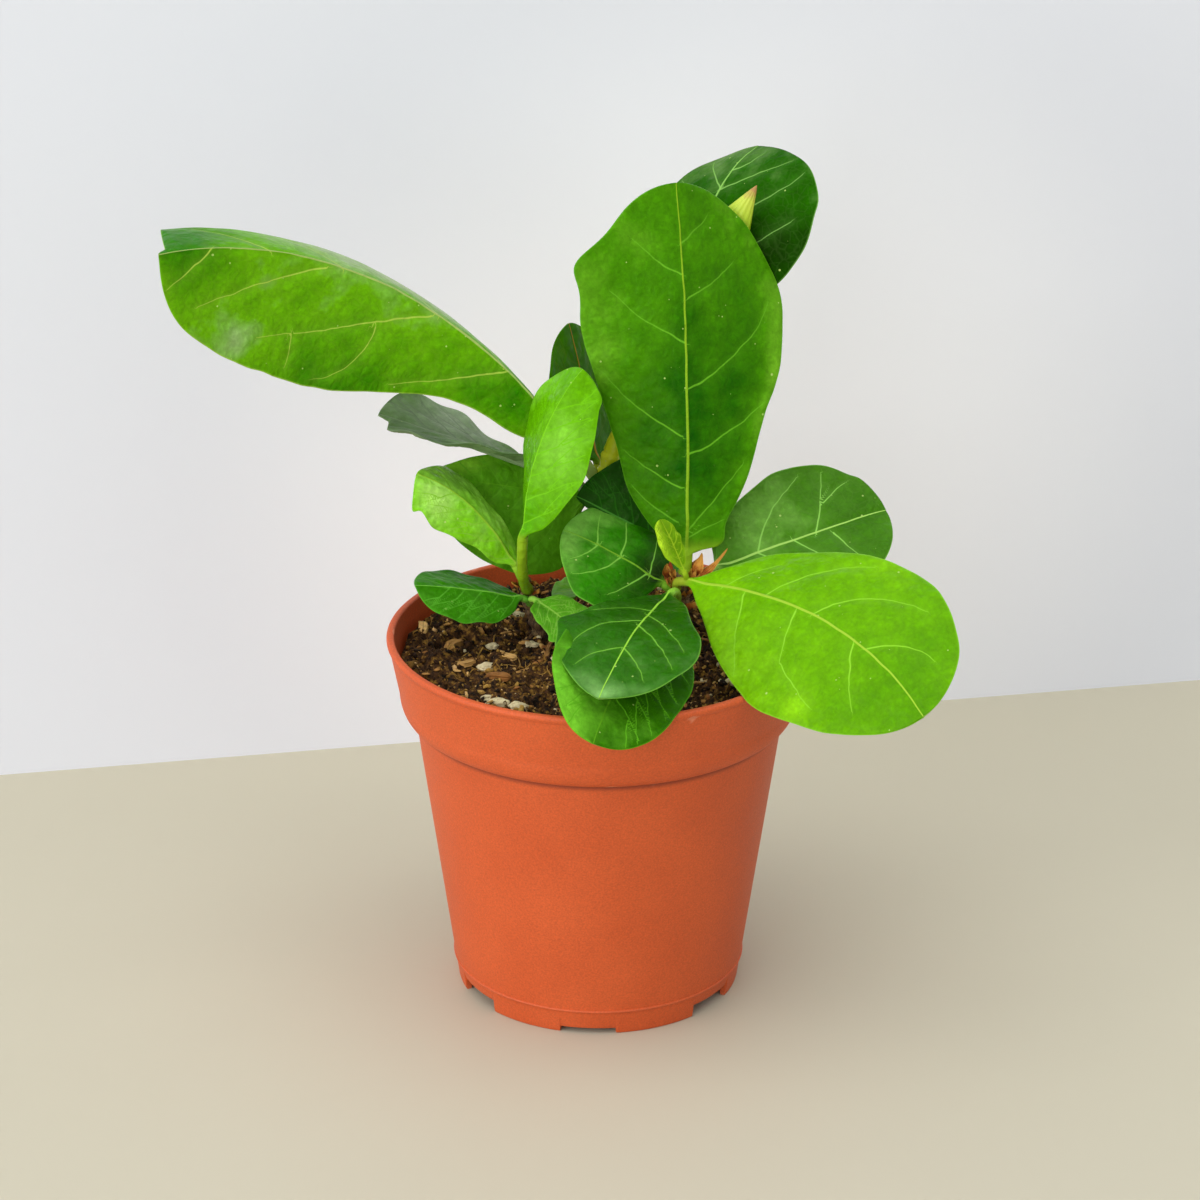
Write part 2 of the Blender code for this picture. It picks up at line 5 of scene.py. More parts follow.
import bmesh
import bpy
import numpy as np
from mathutils import Matrix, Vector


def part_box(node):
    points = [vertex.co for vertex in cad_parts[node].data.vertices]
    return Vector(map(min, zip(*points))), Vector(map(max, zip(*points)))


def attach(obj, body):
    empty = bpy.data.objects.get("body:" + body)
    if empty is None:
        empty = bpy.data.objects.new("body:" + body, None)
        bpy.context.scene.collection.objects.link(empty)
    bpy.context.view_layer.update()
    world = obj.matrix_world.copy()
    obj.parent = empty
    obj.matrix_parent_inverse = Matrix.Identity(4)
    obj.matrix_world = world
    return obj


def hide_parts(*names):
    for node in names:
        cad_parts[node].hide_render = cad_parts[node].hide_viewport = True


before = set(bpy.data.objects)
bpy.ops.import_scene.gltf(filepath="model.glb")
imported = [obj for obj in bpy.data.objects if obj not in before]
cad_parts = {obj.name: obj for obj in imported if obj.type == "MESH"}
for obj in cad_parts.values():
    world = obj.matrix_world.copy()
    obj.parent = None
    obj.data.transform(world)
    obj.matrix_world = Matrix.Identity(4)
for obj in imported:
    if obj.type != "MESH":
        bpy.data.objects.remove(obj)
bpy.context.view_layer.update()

# A young fiddle leaf fig in a thin nursery pot. Lengths are in millimetres from the pot's axis and
# foot (x right, y back, z up) until toWorld turns them to metres; angles are in degrees.
mm = 0.001
potLow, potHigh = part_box("pot")
potAxis = np.array([(potLow.x + potHigh.x) / 2, (potLow.y + potHigh.y) / 2, potLow.z])


def toWorld(points):
    # millimetres from the pot's foot to metres in the frame
    return np.asarray(points, float) * mm + potAxis


def linear(hexColour):
    # an sRGB colour such as "8A5A2B" as linear red, green, blue and an alpha of 1
    parts = [int(hexColour[i:i + 2], 16) / 255 for i in (0, 2, 4)]
    return (*(p / 12.92 if p <= 0.04045 else ((p + 0.055) / 1.055) ** 2.4 for p in parts), 1)


def newMaterial(name):
    # a Principled material, its shader, and addNode for its tree
    material = bpy.data.materials.new(name)
    material.use_nodes = True
    tree = material.node_tree
    return material, tree.nodes["Principled BSDF"], functools.partial(addNode, tree)


def addNode(tree, kind, inputs, stops=(), **settings):
    # the outputs of a new node with its settings and links; stops are a ramp's values and colours
    node = tree.nodes.new("ShaderNode" + kind)
    for key, value in settings.items():
        setattr(node, key, value)
    setInputs(node, inputs)
    for k, (value, colour) in enumerate(stops):
        elements = node.color_ramp.elements
        stop = elements[k] if k < 2 else elements.new(value)
        stop.position, stop.color = value, linear(colour)
    return node.outputs


def setInputs(node, inputs):
    # an input is a value, a colour's hex name or another node's output
    for key, value in inputs.items():
        if isinstance(value, bpy.types.NodeSocket):
            node.id_data.links.new(value, node.inputs[key])
        else:
            node.inputs[key].default_value = linear(value) if isinstance(value, str) else value


def placeInMm(add):
    # the place on a piece in millimetres
    place = add("TexCoord", {})["Object"]
    return add("VectorMath", {0: place, "Scale": 1 / mm}, operation="SCALE")[0]


def speckles(add, place, cell, radius, share):
    # round dots: one in each Voronoi cell (size in mm), kept where the cell's random number is low
    dots = add("TexVoronoi", {"Vector": place, "Scale": 1 / cell})
    random = add("SeparateColor", {0: dots["Color"]})[0]
    size = add("MapRange", {0: random, 2: share, 3: radius / cell, 4: 0})[0]
    return add("Math", {0: dots["Distance"], 1: size}, operation="LESS_THAN")[0]


def layered(add, colour, *layers):
    # a colour under layers: each has a value, the range of it over which a share goes from start to end,
    # and the colour laid over by that share, or None where the share multiplies what is below
    for value, low, high, start, end, over in layers:
        share = add("MapRange", {0: value, 1: low, 2: high, 3: start, 4: end})[0]
        if over:
            colour = add("Mix", {0: share, 6: colour, 7: over}, data_type="RGBA")[2]
        else:
            colour = add("Mix", {0: 1, 6: colour, 7: share}, data_type="RGBA", blend_type="MULTIPLY")[2]
    return colour


def randomAt(cells, seed):
    # a repeatable number from 0 to 1 for each row of whole numbers
    factors = np.array([374761393, 668265263, 2147483647][:cells.shape[1]])
    code = (cells * factors).sum(axis=1) + seed * 974634777
    code = (code ^ (code >> 13)) * 1274126177
    code = code ^ (code >> 16)
    return (code & 0xFFFFFF) / 0xFFFFFF


def noise(points, size, seed):
    # smooth value noise from -1 to 1: a random number at each corner of a grid, blended between
    flat = np.asarray(points, float).reshape(-1, points.shape[-1]) / size
    low = np.floor(flat).astype(np.int64)
    share = flat - low
    share = share * share * (3 - 2 * share)
    total = np.zeros(len(flat))
    for corner in itertools.product((0, 1), repeat=flat.shape[1]):
        weight = np.where(np.array(corner) == 1, share, 1 - share).prod(axis=1)
        total += weight * randomAt(low + np.array(corner), seed)
    return (total * 2 - 1).reshape(points.shape[:-1])


def smoothStep(low, high, value):
    # 0 below low, 1 above high, and a smooth S between
    share = np.clip((value - low) / (high - low), 0, 1)
    return share * share * (3 - 2 * share)


def skinRings(rings):
    # quads between closed rings of points (rows, around, 3), and a fan to a pole at each end
    rows, around, _ = rings.shape
    index = np.arange(rows * around).reshape(rows, around)
    ahead = np.roll(index, -1, axis=1)
    quads = np.stack([index[:-1], ahead[:-1], ahead[1:], index[1:]], axis=-1).reshape(-1, 4)
    foot, top = rows * around, rows * around + 1
    feet = np.stack([ahead[0], index[0], np.full(around, foot)], axis=-1)
    tops = np.stack([index[-1], ahead[-1], np.full(around, top)], axis=-1)
    points = np.concatenate([rings.reshape(-1, 3), [rings[0].mean(axis=0)], [rings[-1].mean(axis=0)]])
    return points, [quads, np.concatenate([feet, tops])]


def withPoles(values):
    # a value for each point of skinRings, from one for each point of its rings
    return np.concatenate([values.ravel(), [values[0].mean()], [values[-1].mean()]])


def turnedOut(points, faceSets):
    # the same faces, all reversed if the closed shape is inside out
    corners = np.concatenate([f[:, [0, k, k + 1]] for f in faceSets for k in range(1, f.shape[1] - 1)])
    a, b, c = (points[corners[:, k]] for k in range(3))
    inside = np.einsum("ij,ij->i", a, np.cross(b, c)).sum() < 0
    return [f[:, ::-1] for f in faceSets] if inside else faceSets


def link(name, data):
    # an object for a mesh, a lamp or a camera, in the scene
    holder = bpy.data.objects.new(name, data)
    bpy.context.scene.collection.objects.link(holder)
    return holder


def newMesh(name, points, faces, material):
    # a mesh of one material, from points in millimetres
    mesh = bpy.data.meshes.new(name)
    mesh.from_pydata(toWorld(points).tolist(), [], faces)
    mesh.materials.append(material)
    return mesh


def merged(skins):
    # the points and faces of many closed skins as one
    pointSets, faceSets, start = [], [], 0
    for points, faces in skins:
        faceSets.append([part + start for part in turnedOut(points, faces)])
        pointSets.append(points)
        start += len(points)
    return np.concatenate(pointSets), [np.concatenate(parts) for parts in zip(*faceSets)]


def addPiece(name, points, faceSets, material, slot, replaced, values=None, uv=None, sharp=60):
    # a finished piece of the plant or the pot, smooth shaded, that rides on the one body
    faces = itertools.chain(*(part.tolist() for part in turnedOut(points, faceSets)))
    mesh = newMesh(name, points, list(faces), material)
    mesh.shade_smooth()
    mesh.set_sharp_from_angle(angle=math.radians(sharp))
    for key, numbers in (values or {}).items():
        mesh.attributes.new(key, "FLOAT", "POINT").data.foreach_set("value", numbers.astype(np.float32))
    if uv is not None:
        corners = np.zeros(len(mesh.loops), np.int32)
        mesh.loops.foreach_get("vertex_index", corners)
        mesh.uv_layers.new(name="surfaceMm").data.foreach_set("uv", uv[corners].astype(np.float32).ravel())
    piece = link(name, mesh)
    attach(piece, "root")
    if replaced:
        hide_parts(*replaced)
    return piece


# A stem: points up its middle line with the radius at each, the heights where leaves have left a scar
# ring, and its finish
stems = {
    "stem_main": dict(
        line=((6, 14, 56, 0.8), (5.5, 15.5, 72, 2.4), (5, 17, 88, 3.1), (3, 19, 106, 2.9),
              (1.5, 19.5, 118, 2.9), (1, 19.5, 125, 2.6)),
        nodes=(88.5, 91.5, 95, 98.6, 102, 104.6, 108, 111, 114, 117.4, 120.6, 123.4), finish="woody_bark"),
    "stem_young": dict(
        line=((1.3, 19.5, 125.9, 2.3), (3.5, 20.5, 134, 2.3), (10, 24, 148, 2.0),
              (20, 29.6, 163.7, 1.8), (32.5, 34.3, 179.1, 1.5)),
        nodes=(128, 131.6, 140, 152.5, 166, 176), finish="green_stem"),
    "stem_right": dict(
        line=((13, 4, 60, 0.8), (14, 3.5, 74, 2.0), (16, 2.5, 88, 2.5), (18.8, 1.5, 98, 2.4),
              (20.3, 1, 107.5, 2.2)),
        nodes=(88, 91.4, 94.4, 97, 99.4, 101.4, 103, 104.6, 106), finish="woody_bark"),
    "stem_left": dict(
        line=((-12, 14, 62, 0.7), (-13, 13, 75, 1.4), (-14.5, 12.5, 87, 1.8), (-17, 11, 96, 1.8),
              (-18.6, 10, 102.6, 1.6)),
        nodes=(88, 91, 94, 96.4, 98.6, 100.6), finish="woody_bark"),
}


def smoothLine(rows, steps):
    # a Catmull-Rom curve through rows of numbers, with this many steps from each row to the next
    rows = np.asarray(rows, float)
    rows = np.concatenate([[2 * rows[0] - rows[1]], rows, [2 * rows[-1] - rows[-2]]])
    u = (np.arange(steps) / steps)[None, :, None]
    before, start, end, after = (rows[k:len(rows) - 3 + k, None] for k in range(4))
    curve = 0.5 * (2 * start + (end - before) * u + (2 * before - 5 * start + 4 * end - after) * u ** 2
                   + (3 * start - before - 3 * end + after) * u ** 3)
    return np.concatenate([curve.reshape(-1, rows.shape[1]), rows[-2:-1]])


def unit(vectors):
    # the same directions, one long
    return vectors / np.maximum(np.linalg.norm(vectors, axis=-1, keepdims=True), 1e-9)


def framesAlong(path):
    # along, side and up vectors at each point of a path, level with the axis that it runs least along
    along = unit(np.gradient(path, axis=0))
    axis = np.eye(3)[np.argmin(np.abs(path[-1] - path[0]))]
    side = unit(axis - along * (along @ axis)[:, None])
    return along, side, np.cross(along, side)


def tubeRings(path, radii, around, relief):
    # circles across a path; relief adds to the radius from (distance along, turn round the tube)
    _, side, up = framesAlong(path)
    turn = np.linspace(0, 2 * np.pi, around, endpoint=False)
    run = np.concatenate([[0], np.cumsum(np.linalg.norm(np.diff(path, axis=0), axis=1))])
    radius = radii[:, None] + relief(*np.meshgrid(run, turn, indexing="ij"))
    ring = side[:, None] * np.cos(turn)[None, :, None] + up[:, None] * np.sin(turn)[None, :, None]
    return path[:, None] + ring * radius[..., None]


def stemAt(name, height):
    # the stem's middle line and radius at a height, and its direction there
    rows = smoothLine(stems[name]["line"], 12)
    here = np.array([np.interp(height, rows[:, 2], rows[:, k]) for k in range(4)])
    below = np.array([np.interp(height - 2, rows[:, 2], rows[:, k]) for k in range(3)])
    return here[:3], here[3], unit(here[:3] - below)


def woodyBark():
    # Young fig wood: thin grey-brown bark that splits into fine lengthwise cracks and is matt all over.
    # Its colour comes in clouds of 3.5 mm, dark along the edges of stretched cells 0.8 mm wide.
    material, shader, add = newMaterial("youngFigBark")
    place = placeInMm(add)
    stretched = add("Mapping", {0: place, "Scale": (1, 1, 0.28)})[0]
    clouds = add("TexNoise", {"Vector": place, "Scale": 1 / 3.5, "Detail": 4})[0]
    cell = {"Vector": stretched, "Scale": 1 / 0.8}
    cracks = add("TexVoronoi", cell, feature="DISTANCE_TO_EDGE")["Distance"]
    bark = add("ValToRGB", {0: clouds}, stops=((0.35, "4A3420"), (0.68, "8B7448")))[0]
    bark = layered(add, bark, (cracks, 0.02, 0.12, 0.75, 0, "2A1C10"))
    bump = add("Bump", {"Height": cracks, "Strength": 0.6, "Distance": 0.3 * mm})[0]
    setInputs(shader, {"Base Color": bark, "Roughness": 0.8, "Normal": bump, "Specular IOR Level": 0.3})
    return material


def greenStemSkin():
    # This year's shoot: a smooth waxy skin, yellow-green in clouds of 4 mm, with pale breathing pores.
    material, shader, add = newMaterial("youngShootSkin")
    place = placeInMm(add)
    clouds = add("TexNoise", {"Vector": place, "Scale": 1 / 4, "Detail": 3})[0]
    skin = add("ValToRGB", {0: clouds}, stops=((0.3, "D2D80C"), (0.7, "E0DA32")))[0]
    skin = layered(add, skin, (speckles(add, place, 1.3, 0.2, 0.7), 0, 1, 0, 1, "C9CC86"))
    grain = add("TexNoise", {"Vector": place, "Scale": 1 / 0.5, "Detail": 2})[0]
    bump = add("Bump", {"Height": grain, "Strength": 0.3, "Distance": 0.1 * mm})[0]
    setInputs(shader, {"Base Color": skin, "Roughness": 0.42, "Normal": bump, "Specular IOR Level": 0.4})
    return material


def buildStem(name, stem, material):
    # a tube with a swelling and a groove at each leaf scar, and bark that ripples round and along
    rows = smoothLine(stem["line"], 40)
    path, radii = rows[:, :3], rows[:, 3]
    for node in stem["nodes"]:
        above = path[:, 2] - node
        radii = radii + 0.34 * np.exp(-(above / 0.8) ** 2) - 0.2 * np.exp(-((above - 0.9) / 0.28) ** 2)

    def relief(run, turn):
        # lumps 3 mm long and a grain of 0.7 mm, both drawn on the tube's own round
        ring = np.stack([run / 3, np.cos(turn) * 1.3, np.sin(turn) * 1.3], axis=-1)
        fine = np.stack([run, np.cos(turn) * 3, np.sin(turn) * 3], axis=-1)
        return 0.22 * noise(ring, 1, 11) + 0.07 * noise(fine, 0.7, 12)

    points, faceSets = skinRings(tubeRings(path, radii, 40, relief))
    addPiece(name, points, faceSets, material, stem["finish"], [name])


# A leaf: length and width of its blade, the place of its base, the compass heading (0 is to the back,
# 90 to the right) and rise of its midrib there, how far that droops (evenly with a bend of 1, mostly
# near the tip with 3) and sweeps round on the way to the tip, the roll and twist about it, and the
# fold and cup of its two halves. Its outline: where it is widest, how full it is at base and tip, the
# right half's extra share, over what share of its length it grows out of the stalk, lobes as (side,
# place, spread, height), what each margin gains at five places from base to tip, and where a torn tip
# is cut back, as (side, place, width left). Its stalk's radius, and the stem and height that it joins.
# Its looks: the slot of its material, the colours of the blade, of its deeper tissue and painted shade
# and of its paler tissue and painted sheen, of the veins, the rib, the stalk and the underside, how rough
# the wax is and how much it shines, how far the blade puffs up between veins and waves at its margin,
# painted sheen and shade as paler or deeper spots (place, spread, their two widths, amount), and its side
# veins: measured ones as (side, start along, start out, angle, turn towards the tip, reach), or a number
# of pairs.
leaves = {
    "leaf_long_left": dict(
        length=124, width=54.4, at=(-6.1, 20, 133.5), heading=-93.2, rise=55.4, droop=58.6, sweep=-23.2,
        roll=-36.6, twist=-11.9, fold=-40, cup=-12.9, widest=0.69, base=1.38, tip=0.38, share=-0.16,
        lobes=((1, 0.9, 0.07, 5.3), (1, 0.945, 0.03, 2.2), (-1, 0.98, 0.07, 2)),
        right=(0, -0.1, -0.5, -1.6, 0.4), left=(5.1, 0.1, 1.2, -0.9, -0.2), cut=(1, 0.98, 2.3),
        stem="stem_main", joins=123.5, stalk=1.5, slot="leaf_mid", green="66AA08", deepAndShade="2C7600",
        paleAndSheen="A2B884", vein="A6C648", rib="A6BC66", under="86A84E", puff=0.4, shine=0.085,
        tones=((0.18, -0.4, 0.1, 0.7, -0.8), (0.55, -1, 0.2, 0.4, -0.7), (0.45, -0.5, 0.3, 0.6, -0.2),
            (0.5, 0.6, 0.22, 0.55, 1), (0.82, -0.85, 0.11, 0.22, 0.5), (0.96, 0.2, 0.08, 0.9, -0.8),
            (0.92, 0.6, 0.13, 0.6, -0.8)),
        veins=((-1, 81.1, 1.1, 27, 10, 35.5), (-1, 51.4, 1.2, 37, 22, 48), (-1, 62.8, 10.3, 109, 94, 23),
            (-1, 26.9, 0.7, 49, 15, 30.5), (-1, 110.7, 0.3, 43, 11, 16), (-1, 84.7, 19, 111, 19, 9),
            (1, 77.3, 0, 60, 21, 20), (1, 50, 0, 55, 21, 25), (1, 96, 0, 52, 15, 20),
            (1, 28, 0, 50, 15, 20))),
    "leaf_grey_left": dict(
        length=47.1, width=35.7, at=(-10.3, 22, 126.5), heading=-91.2, rise=19.9, droop=3.9, sweep=10.4,
        roll=26.3, twist=-29, fold=5.7, cup=4.3, widest=0.64, base=1.14, tip=0.51, share=0.04,
        lobes=((1, 0.95, 0.05, 2.4), (-1, 0.9, 0.04, 1.6), (-1, 0.79, 0.05, -1.3)),
        right=(0, -0.1, 0.1, -0.1, 0.6), left=(0, 0.1, 0.4, 0, -0.9), cut=(-1, 0.93, 2.6), stem="stem_main",
        joins=113, stalk=1.2, green="66864E", deepAndShade="22400C", paleAndSheen="93A186", vein="6C7C60", rib="8A9A7A",
        under="7C9468", rough=0.5, puff=0.5, wave=0.6, shine=0.15,
        tones=((0.2, 0, 0.25, 1, -0.6), (0.55, 0.5, 0.3, 0.7, 0.9), (0.7, -0.8, 0.15, 0.5, -0.8)),
        veins=5),
    "leaf_tall_centre": dict(
        length=91, width=52.2, at=(21.4, 4.6, 112.1), heading=3.3, rise=79.3, droop=12.3, sweep=-18.8,
        roll=-1.5, twist=10.7, fold=-10.5, cup=-1.9, widest=0.61, base=0.61, tip=0.44, share=-0.02,
        grow=0.012,
        lobes=((-1, 0.796, 0.06, 4.4), (-1, 0.378, 0.15, -1.7), (1, 0.329, 0.15, -2.3),
            (1, 0.02, 0.045, 4.2)),
        right=(-0.6, -0.4, 0.4, 1.6, 0.6), left=(-0.2, -2.4, -2.3, -0.6, -1.6), joins=105, stalk=1.5,
        slot="leaf_mid", green="448604", deepAndShade="0A4E00", paleAndSheen="74B026", vein="62A622", rib="86AE22",
        under="7CA048", rough=0.38, puff=0.32, shine=0.08,
        tones=((0.28, 0, 0.27, 0.9, -0.8), (0.55, 0.65, 0.22, 0.4, -0.35), (0.55, -0.9, 0.2, 0.25, 0.5),
            (0.5, 0.95, 0.25, 0.15, 0.9), (0.86, -0.4, 0.12, 0.5, 0.05), (0.85, 0.4, 0.1, 0.4, -0.1),
            (0.06, 0.2, 0.04, 0.3, 0.5), (0.6, 0, 0.25, 0.2, -0.4)),
        veins=((1, 62.5, 0.9, 68, 20, 15.3), (1, 40.6, 0.4, 67, 37, 30.8), (1, 24.5, 0.1, 70, 28, 27.8),
            (1, 6.2, 0.5, 44, 7, 21.3), (1, 4.4, 0.9, 67, 1, 9), (-1, 52.3, 0.4, 63, 20, 22),
            (-1, 29.1, 1.9, 59, 20, 26), (-1, 16.2, 1.6, 63, 14, 20), (-1, 7.9, 2.9, 62, 20, 14),
            (-1, 68.5, 0.4, 60, 20, 15), (1, 76.5, 0.3, 62, 20, 10))),
    "leaf_top_back": dict(
        length=49, width=48.7, at=(22, 37.5, 164.6), heading=14.6, rise=68.4, droop=51.9, sweep=31,
        roll=-2.6, twist=-13, fold=-4.3, cup=-0.5, widest=0.6, base=0.4, tip=0.5, share=0.25,
        lobes=((1, 0.86, 0.08, 1),), right=(0.1, 0.2, -0.3, 0.3, -0.2), left=(0, 0, 0, 0, -0.2),
        stem="stem_young", joins=152, stalk=1.2, green="1E5800", deepAndShade="0E2C00", paleAndSheen="7EA458",
        vein="7DB054", rib="85BA56", rough=0.4, puff=0.25, ribWidth=0.9, shine=0.02,
        tones=((0.3, 0.7, 0.25, 0.6, -0.9), (0.92, -0.6, 0.15, 0.8, 0.5)),
        veins=((1, 31.6, 0, 55, -1, 20.3), (1, 21.5, 1.2, 65, 29, 28), (1, 10.9, 1.3, 65, 15, 27),
            (1, 37.9, 0, 48, 22, 9), (-1, 10, 0, 62, 20, 22), (-1, 21, 0, 58, 20, 20),
            (-1, 32, 0, 52, 15, 14))),
    "leaf_back_upright": dict(
        length=35.8, width=27.5, at=(-0.6, 24.4, 128.3), heading=-48.1, rise=76.1, droop=3.4, sweep=-2.8,
        roll=13.2, twist=-0.4, fold=-2.8, cup=-1.9, widest=0.62, base=0.45, tip=0.52, share=-0.01,
        right=(3, 1, 0, 0, 0), left=(0, 0, 0.1, 0.1, 0), stem="stem_main", joins=121, stalk=1.1,
        green="3C7A04", deepAndShade="285800", paleAndSheen="4A7A1C", vein="4C7A14", rib="B8822A", petiole="8FA82C",
        rough=0.42, puff=0.2, shine=0.04, veins=5),
    "leaf_bright_upright": dict(
        length=45.4, width=28.2, at=(-18.8, -1.6, 118.1), heading=44.7, rise=84.6, droop=43.6, sweep=14.2,
        roll=-23, twist=49.1, fold=-24.6, cup=-4.7, widest=0.48, base=0.77, tip=0.44, share=-0.05,
        lobes=((-1, 0.82, 0.08, 0.9), (1, 0.93, 0.05, 1.2)),
        right=(0.6, 0.4, 0.1, -0.4, 0.1), left=(-0.6, -0.4, -0.4, 1.3, 0.1), stem="stem_left", joins=100.3,
        stalk=1.3, slot="leaf_bright", green="5CA200", deepAndShade="469600", paleAndSheen="84C83C", vein="68B40C",
        rib="74BC1C", petiole="86A41C", under="8DBB4C", rough=0.3, puff=0.12, ribWidth=0.5, shine=0.13,
        tones=((0.1, -0.3, 0.2, 1, -0.6), (0.55, 0.4, 0.2, 0.4, 0.7), (0.8, -0.9, 0.1, 0.3, 0.5)),
        veins=6),
    "leaf_glossy_left": dict(
        length=34.5, width=19.5, at=(-20.9, 7.6, 107.5), heading=-81.3, rise=62.8, droop=43.4, sweep=-4.9,
        roll=-29.9, twist=4.9, fold=-14.8, cup=-13.9, widest=0.7, base=0.5, tip=0.47, share=0.01,
        lobes=((-1, 0.93, 0.05, 3.2), (1, 0.85, 0.08, 0.8)),
        right=(1.4, -0.1, -1, 0.8, -0.2), left=(-0.4, -1.2, 0.1, 0.9, 0), stem="stem_left", joins=101.5,
        stalk=1.0, slot="leaf_bright", green="76C400", deepAndShade="5CA400", paleAndSheen="A8DC60", vein="82BE2E",
        rib="94C430", under="8DBB4C", rough=0.24, puff=0.32, shine=0.55,
        tones=((0.6, 0.7, 0.6, 0.6, 0.6), (0.78, -0.4, 0.16, 0.5, 0.9)),
        veins=5),
    "leaf_olive_back": dict(
        length=39.5, width=29.2, at=(-3.1, 24.3, 118.9), heading=-94.2, rise=11.3, droop=5.3, sweep=2.9,
        roll=-65.8, twist=0.7, fold=-4.5, cup=-0.3, widest=0.35, base=0.12, tip=0.49, share=-0.45,
        right=(0, 0, 0.7, 0.3, -0.1), left=(-0.6, 0.2, -0.1, -0.2, 0.3), stem="stem_main", joins=108,
        stalk=1.2, green="48860A", deepAndShade="2E6400", paleAndSheen="74A428", vein="4E8A14", rib="528E12", rough=0.5,
        puff=0.2, ribWidth=0.3, shine=0.12,
        tones=((0.85, 0.8, 0.2, 0.5, 0.6),), veins=5),
    "leaf_low_left": dict(
        length=28, width=23, at=(-19.3, 7.3, 98.9), heading=-108.3, rise=17.9, droop=10, sweep=0.7,
        roll=-14.5, twist=1.3, fold=-8.4, cup=-5.3, widest=0.61, base=0.58, tip=0.48, share=-0.03,
        right=(0.3, -0.4, 0.2, 0.2, -0.1), left=(-0.1, 0.5, -0.3, -0.3, 0.1), stem="stem_left", joins=96,
        stalk=0.9, slot="leaf_mid", green="327C04", deepAndShade="226400", paleAndSheen="579A2C", vein="509A26",
        rib="72B83C", puff=0.2, ribWidth=0.7, shine=0.07, veins=5),
    "leaf_round_middle": dict(
        length=27.9, width=36.5, at=(15.5, -0.8, 106.2), heading=-77.3, rise=32.5, droop=16.4, sweep=-0.4,
        roll=-22.6, twist=0.3, fold=-0.2, cup=-0.2, widest=0.46, base=0.6, tip=0.54, share=-0.02,
        right=(5, 5.5, 3.6, 0.3, -0.3), left=(0, 0, -0.2, 0.5, -0.5), joins=103, stalk=1.1, green="2A7A00",
        deepAndShade="061E00", paleAndSheen="8CC852", vein="7FBE45", rib="74A82A", puff=0.3, wave=0.25, ribWidth=0.62,
        shine=0.07,
        tones=((0.05, 0, 0.3, 1.2, -1), (0.95, 0.1, 0.2, 1.2, 0.6), (0.65, 0.7, 0.22, 0.4, 0.3)),
        veins=((1, 12.3, 0, 87, 30, 19), (-1, 18.4, 0, 68, 17, 9), (-1, 12, 0, 76, 44, 15),
            (1, 18.9, 0, 76, 1, 9), (1, 4.2, 0, 87, 19, 14), (-1, 5, 0, 82, 30, 14))),
    "leaf_veined_front": dict(
        length=52.3, width=32.6, at=(17.2, -10.2, 107.5), heading=-159.8, rise=5.7, droop=28.4, sweep=-1.1,
        roll=-1.6, twist=-3.4, fold=-0.4, cup=0.4, widest=0.61, base=1.06, tip=0.59, share=-0.06,
        right=(1.6, 2.6, 4, 1.4, 0), left=(1.2, -0.9, 0.1, 0.5, 0.7), joins=101, stalk=1.0, green="246400",
        deepAndShade="123A00", paleAndSheen="80B460", vein="76B63A", rib="95CE3E", puff=0.4, ribWidth=0.6, shine=0.2,
        tones=((0.2, 0, 0.3, 1.2, -0.6), (0.99, 0, 0.09, 0.8, 0.8)),
        veins=((1, 20.1, 0.5, 73, 74, 21.8), (1, 33.3, 0, 66, 43, 13.3), (1, 13.3, 0, 92, 51, 14.8),
            (-1, 16.1, 0, 54, 19, 19.1), (-1, 22.6, 0, 52, 22, 20), (-1, 33.3, 0, 47, 20, 13.1))),
    "leaf_drooping_front": dict(
        length=59, width=33.9, at=(14.7, -8.2, 102), heading=-166.2, rise=-1, droop=33, bend=2.6, sweep=5,
        roll=-14.2, twist=-18.3, fold=3.9, cup=0.9, widest=0.58, base=0.97, tip=0.39, share=0.01,
        right=(0, 0, 0, 0.3, 0.1), left=(0, 0.6, -0.2, -0.5, 0.2), joins=97, stalk=1.1, green="2C6800",
        deepAndShade="184600", paleAndSheen="78C82E", vein="5CA81C", rib="5B9B1A", puff=0.1, shine=0.06,
        tones=((0.9, 0.8, 0.25, 0.8, 0.9), (0.3, -0.4, 0.3, 0.8, -0.5)),
        veins=7),
    "leaf_dark_right": dict(
        length=47.4, width=38.6, at=(28.3, 8, 106.7), heading=68.9, rise=12.9, droop=3.4, sweep=-0.3,
        roll=26.6, twist=3.5, fold=5.9, cup=0.9, widest=0.64, base=0.54, tip=0.52, share=-0.01,
        lobes=((-1, 0.04, 0.06, 4.6), (-1, 0.55, 0.1, 0.7), (-1, 0.96, 0.04, 1.8)),
        left=(0, 0.2, -0.2, -0.1, 0.2), joins=102.5, stalk=1.2, green="427C0E", deepAndShade="2A5E00",
        paleAndSheen="86BE50", vein="8CC854", rib="A2D060", rough=0.34, puff=0.5, wave=0.4, ribWidth=0.75,
        shine=0.13,
        tones=((0.36, -0.55, 0.2, 0.6, 0.4), (0.82, -0.2, 0.2, 0.9, -0.5)),
        veins=((-1, 12.3, 0.8, 55, 28, 24.1), (-1, 27.8, 0, 55, -10, 17), (-1, 32.3, 6.7, 30, 14, 9.5),
            (1, 31.7, 1.9, 78, 12, 12), (1, 12, 0, 62, 20, 20), (1, 22, 0, 66, 20, 18))),
    "leaf_lime_right": dict(
        length=82.7, width=48.8, at=(20.3, -3.7, 108.1), heading=122, rise=8.7, droop=35.8, sweep=29.6,
        roll=22.6, twist=22.8, fold=-5.5, cup=-3.7, widest=0.55, base=0.7, tip=0.51, share=0.1,
        right=(-3.6, -0.6, 0.1, -1.2, 0), left=(-2.2, -0.6, 0.3, 2.2, 2.6), joins=103.5, stalk=1.15,
        slot="leaf_bright", green="62A200", deepAndShade="448200", paleAndSheen="84C60C", vein="88C82E", rib="98BE34",
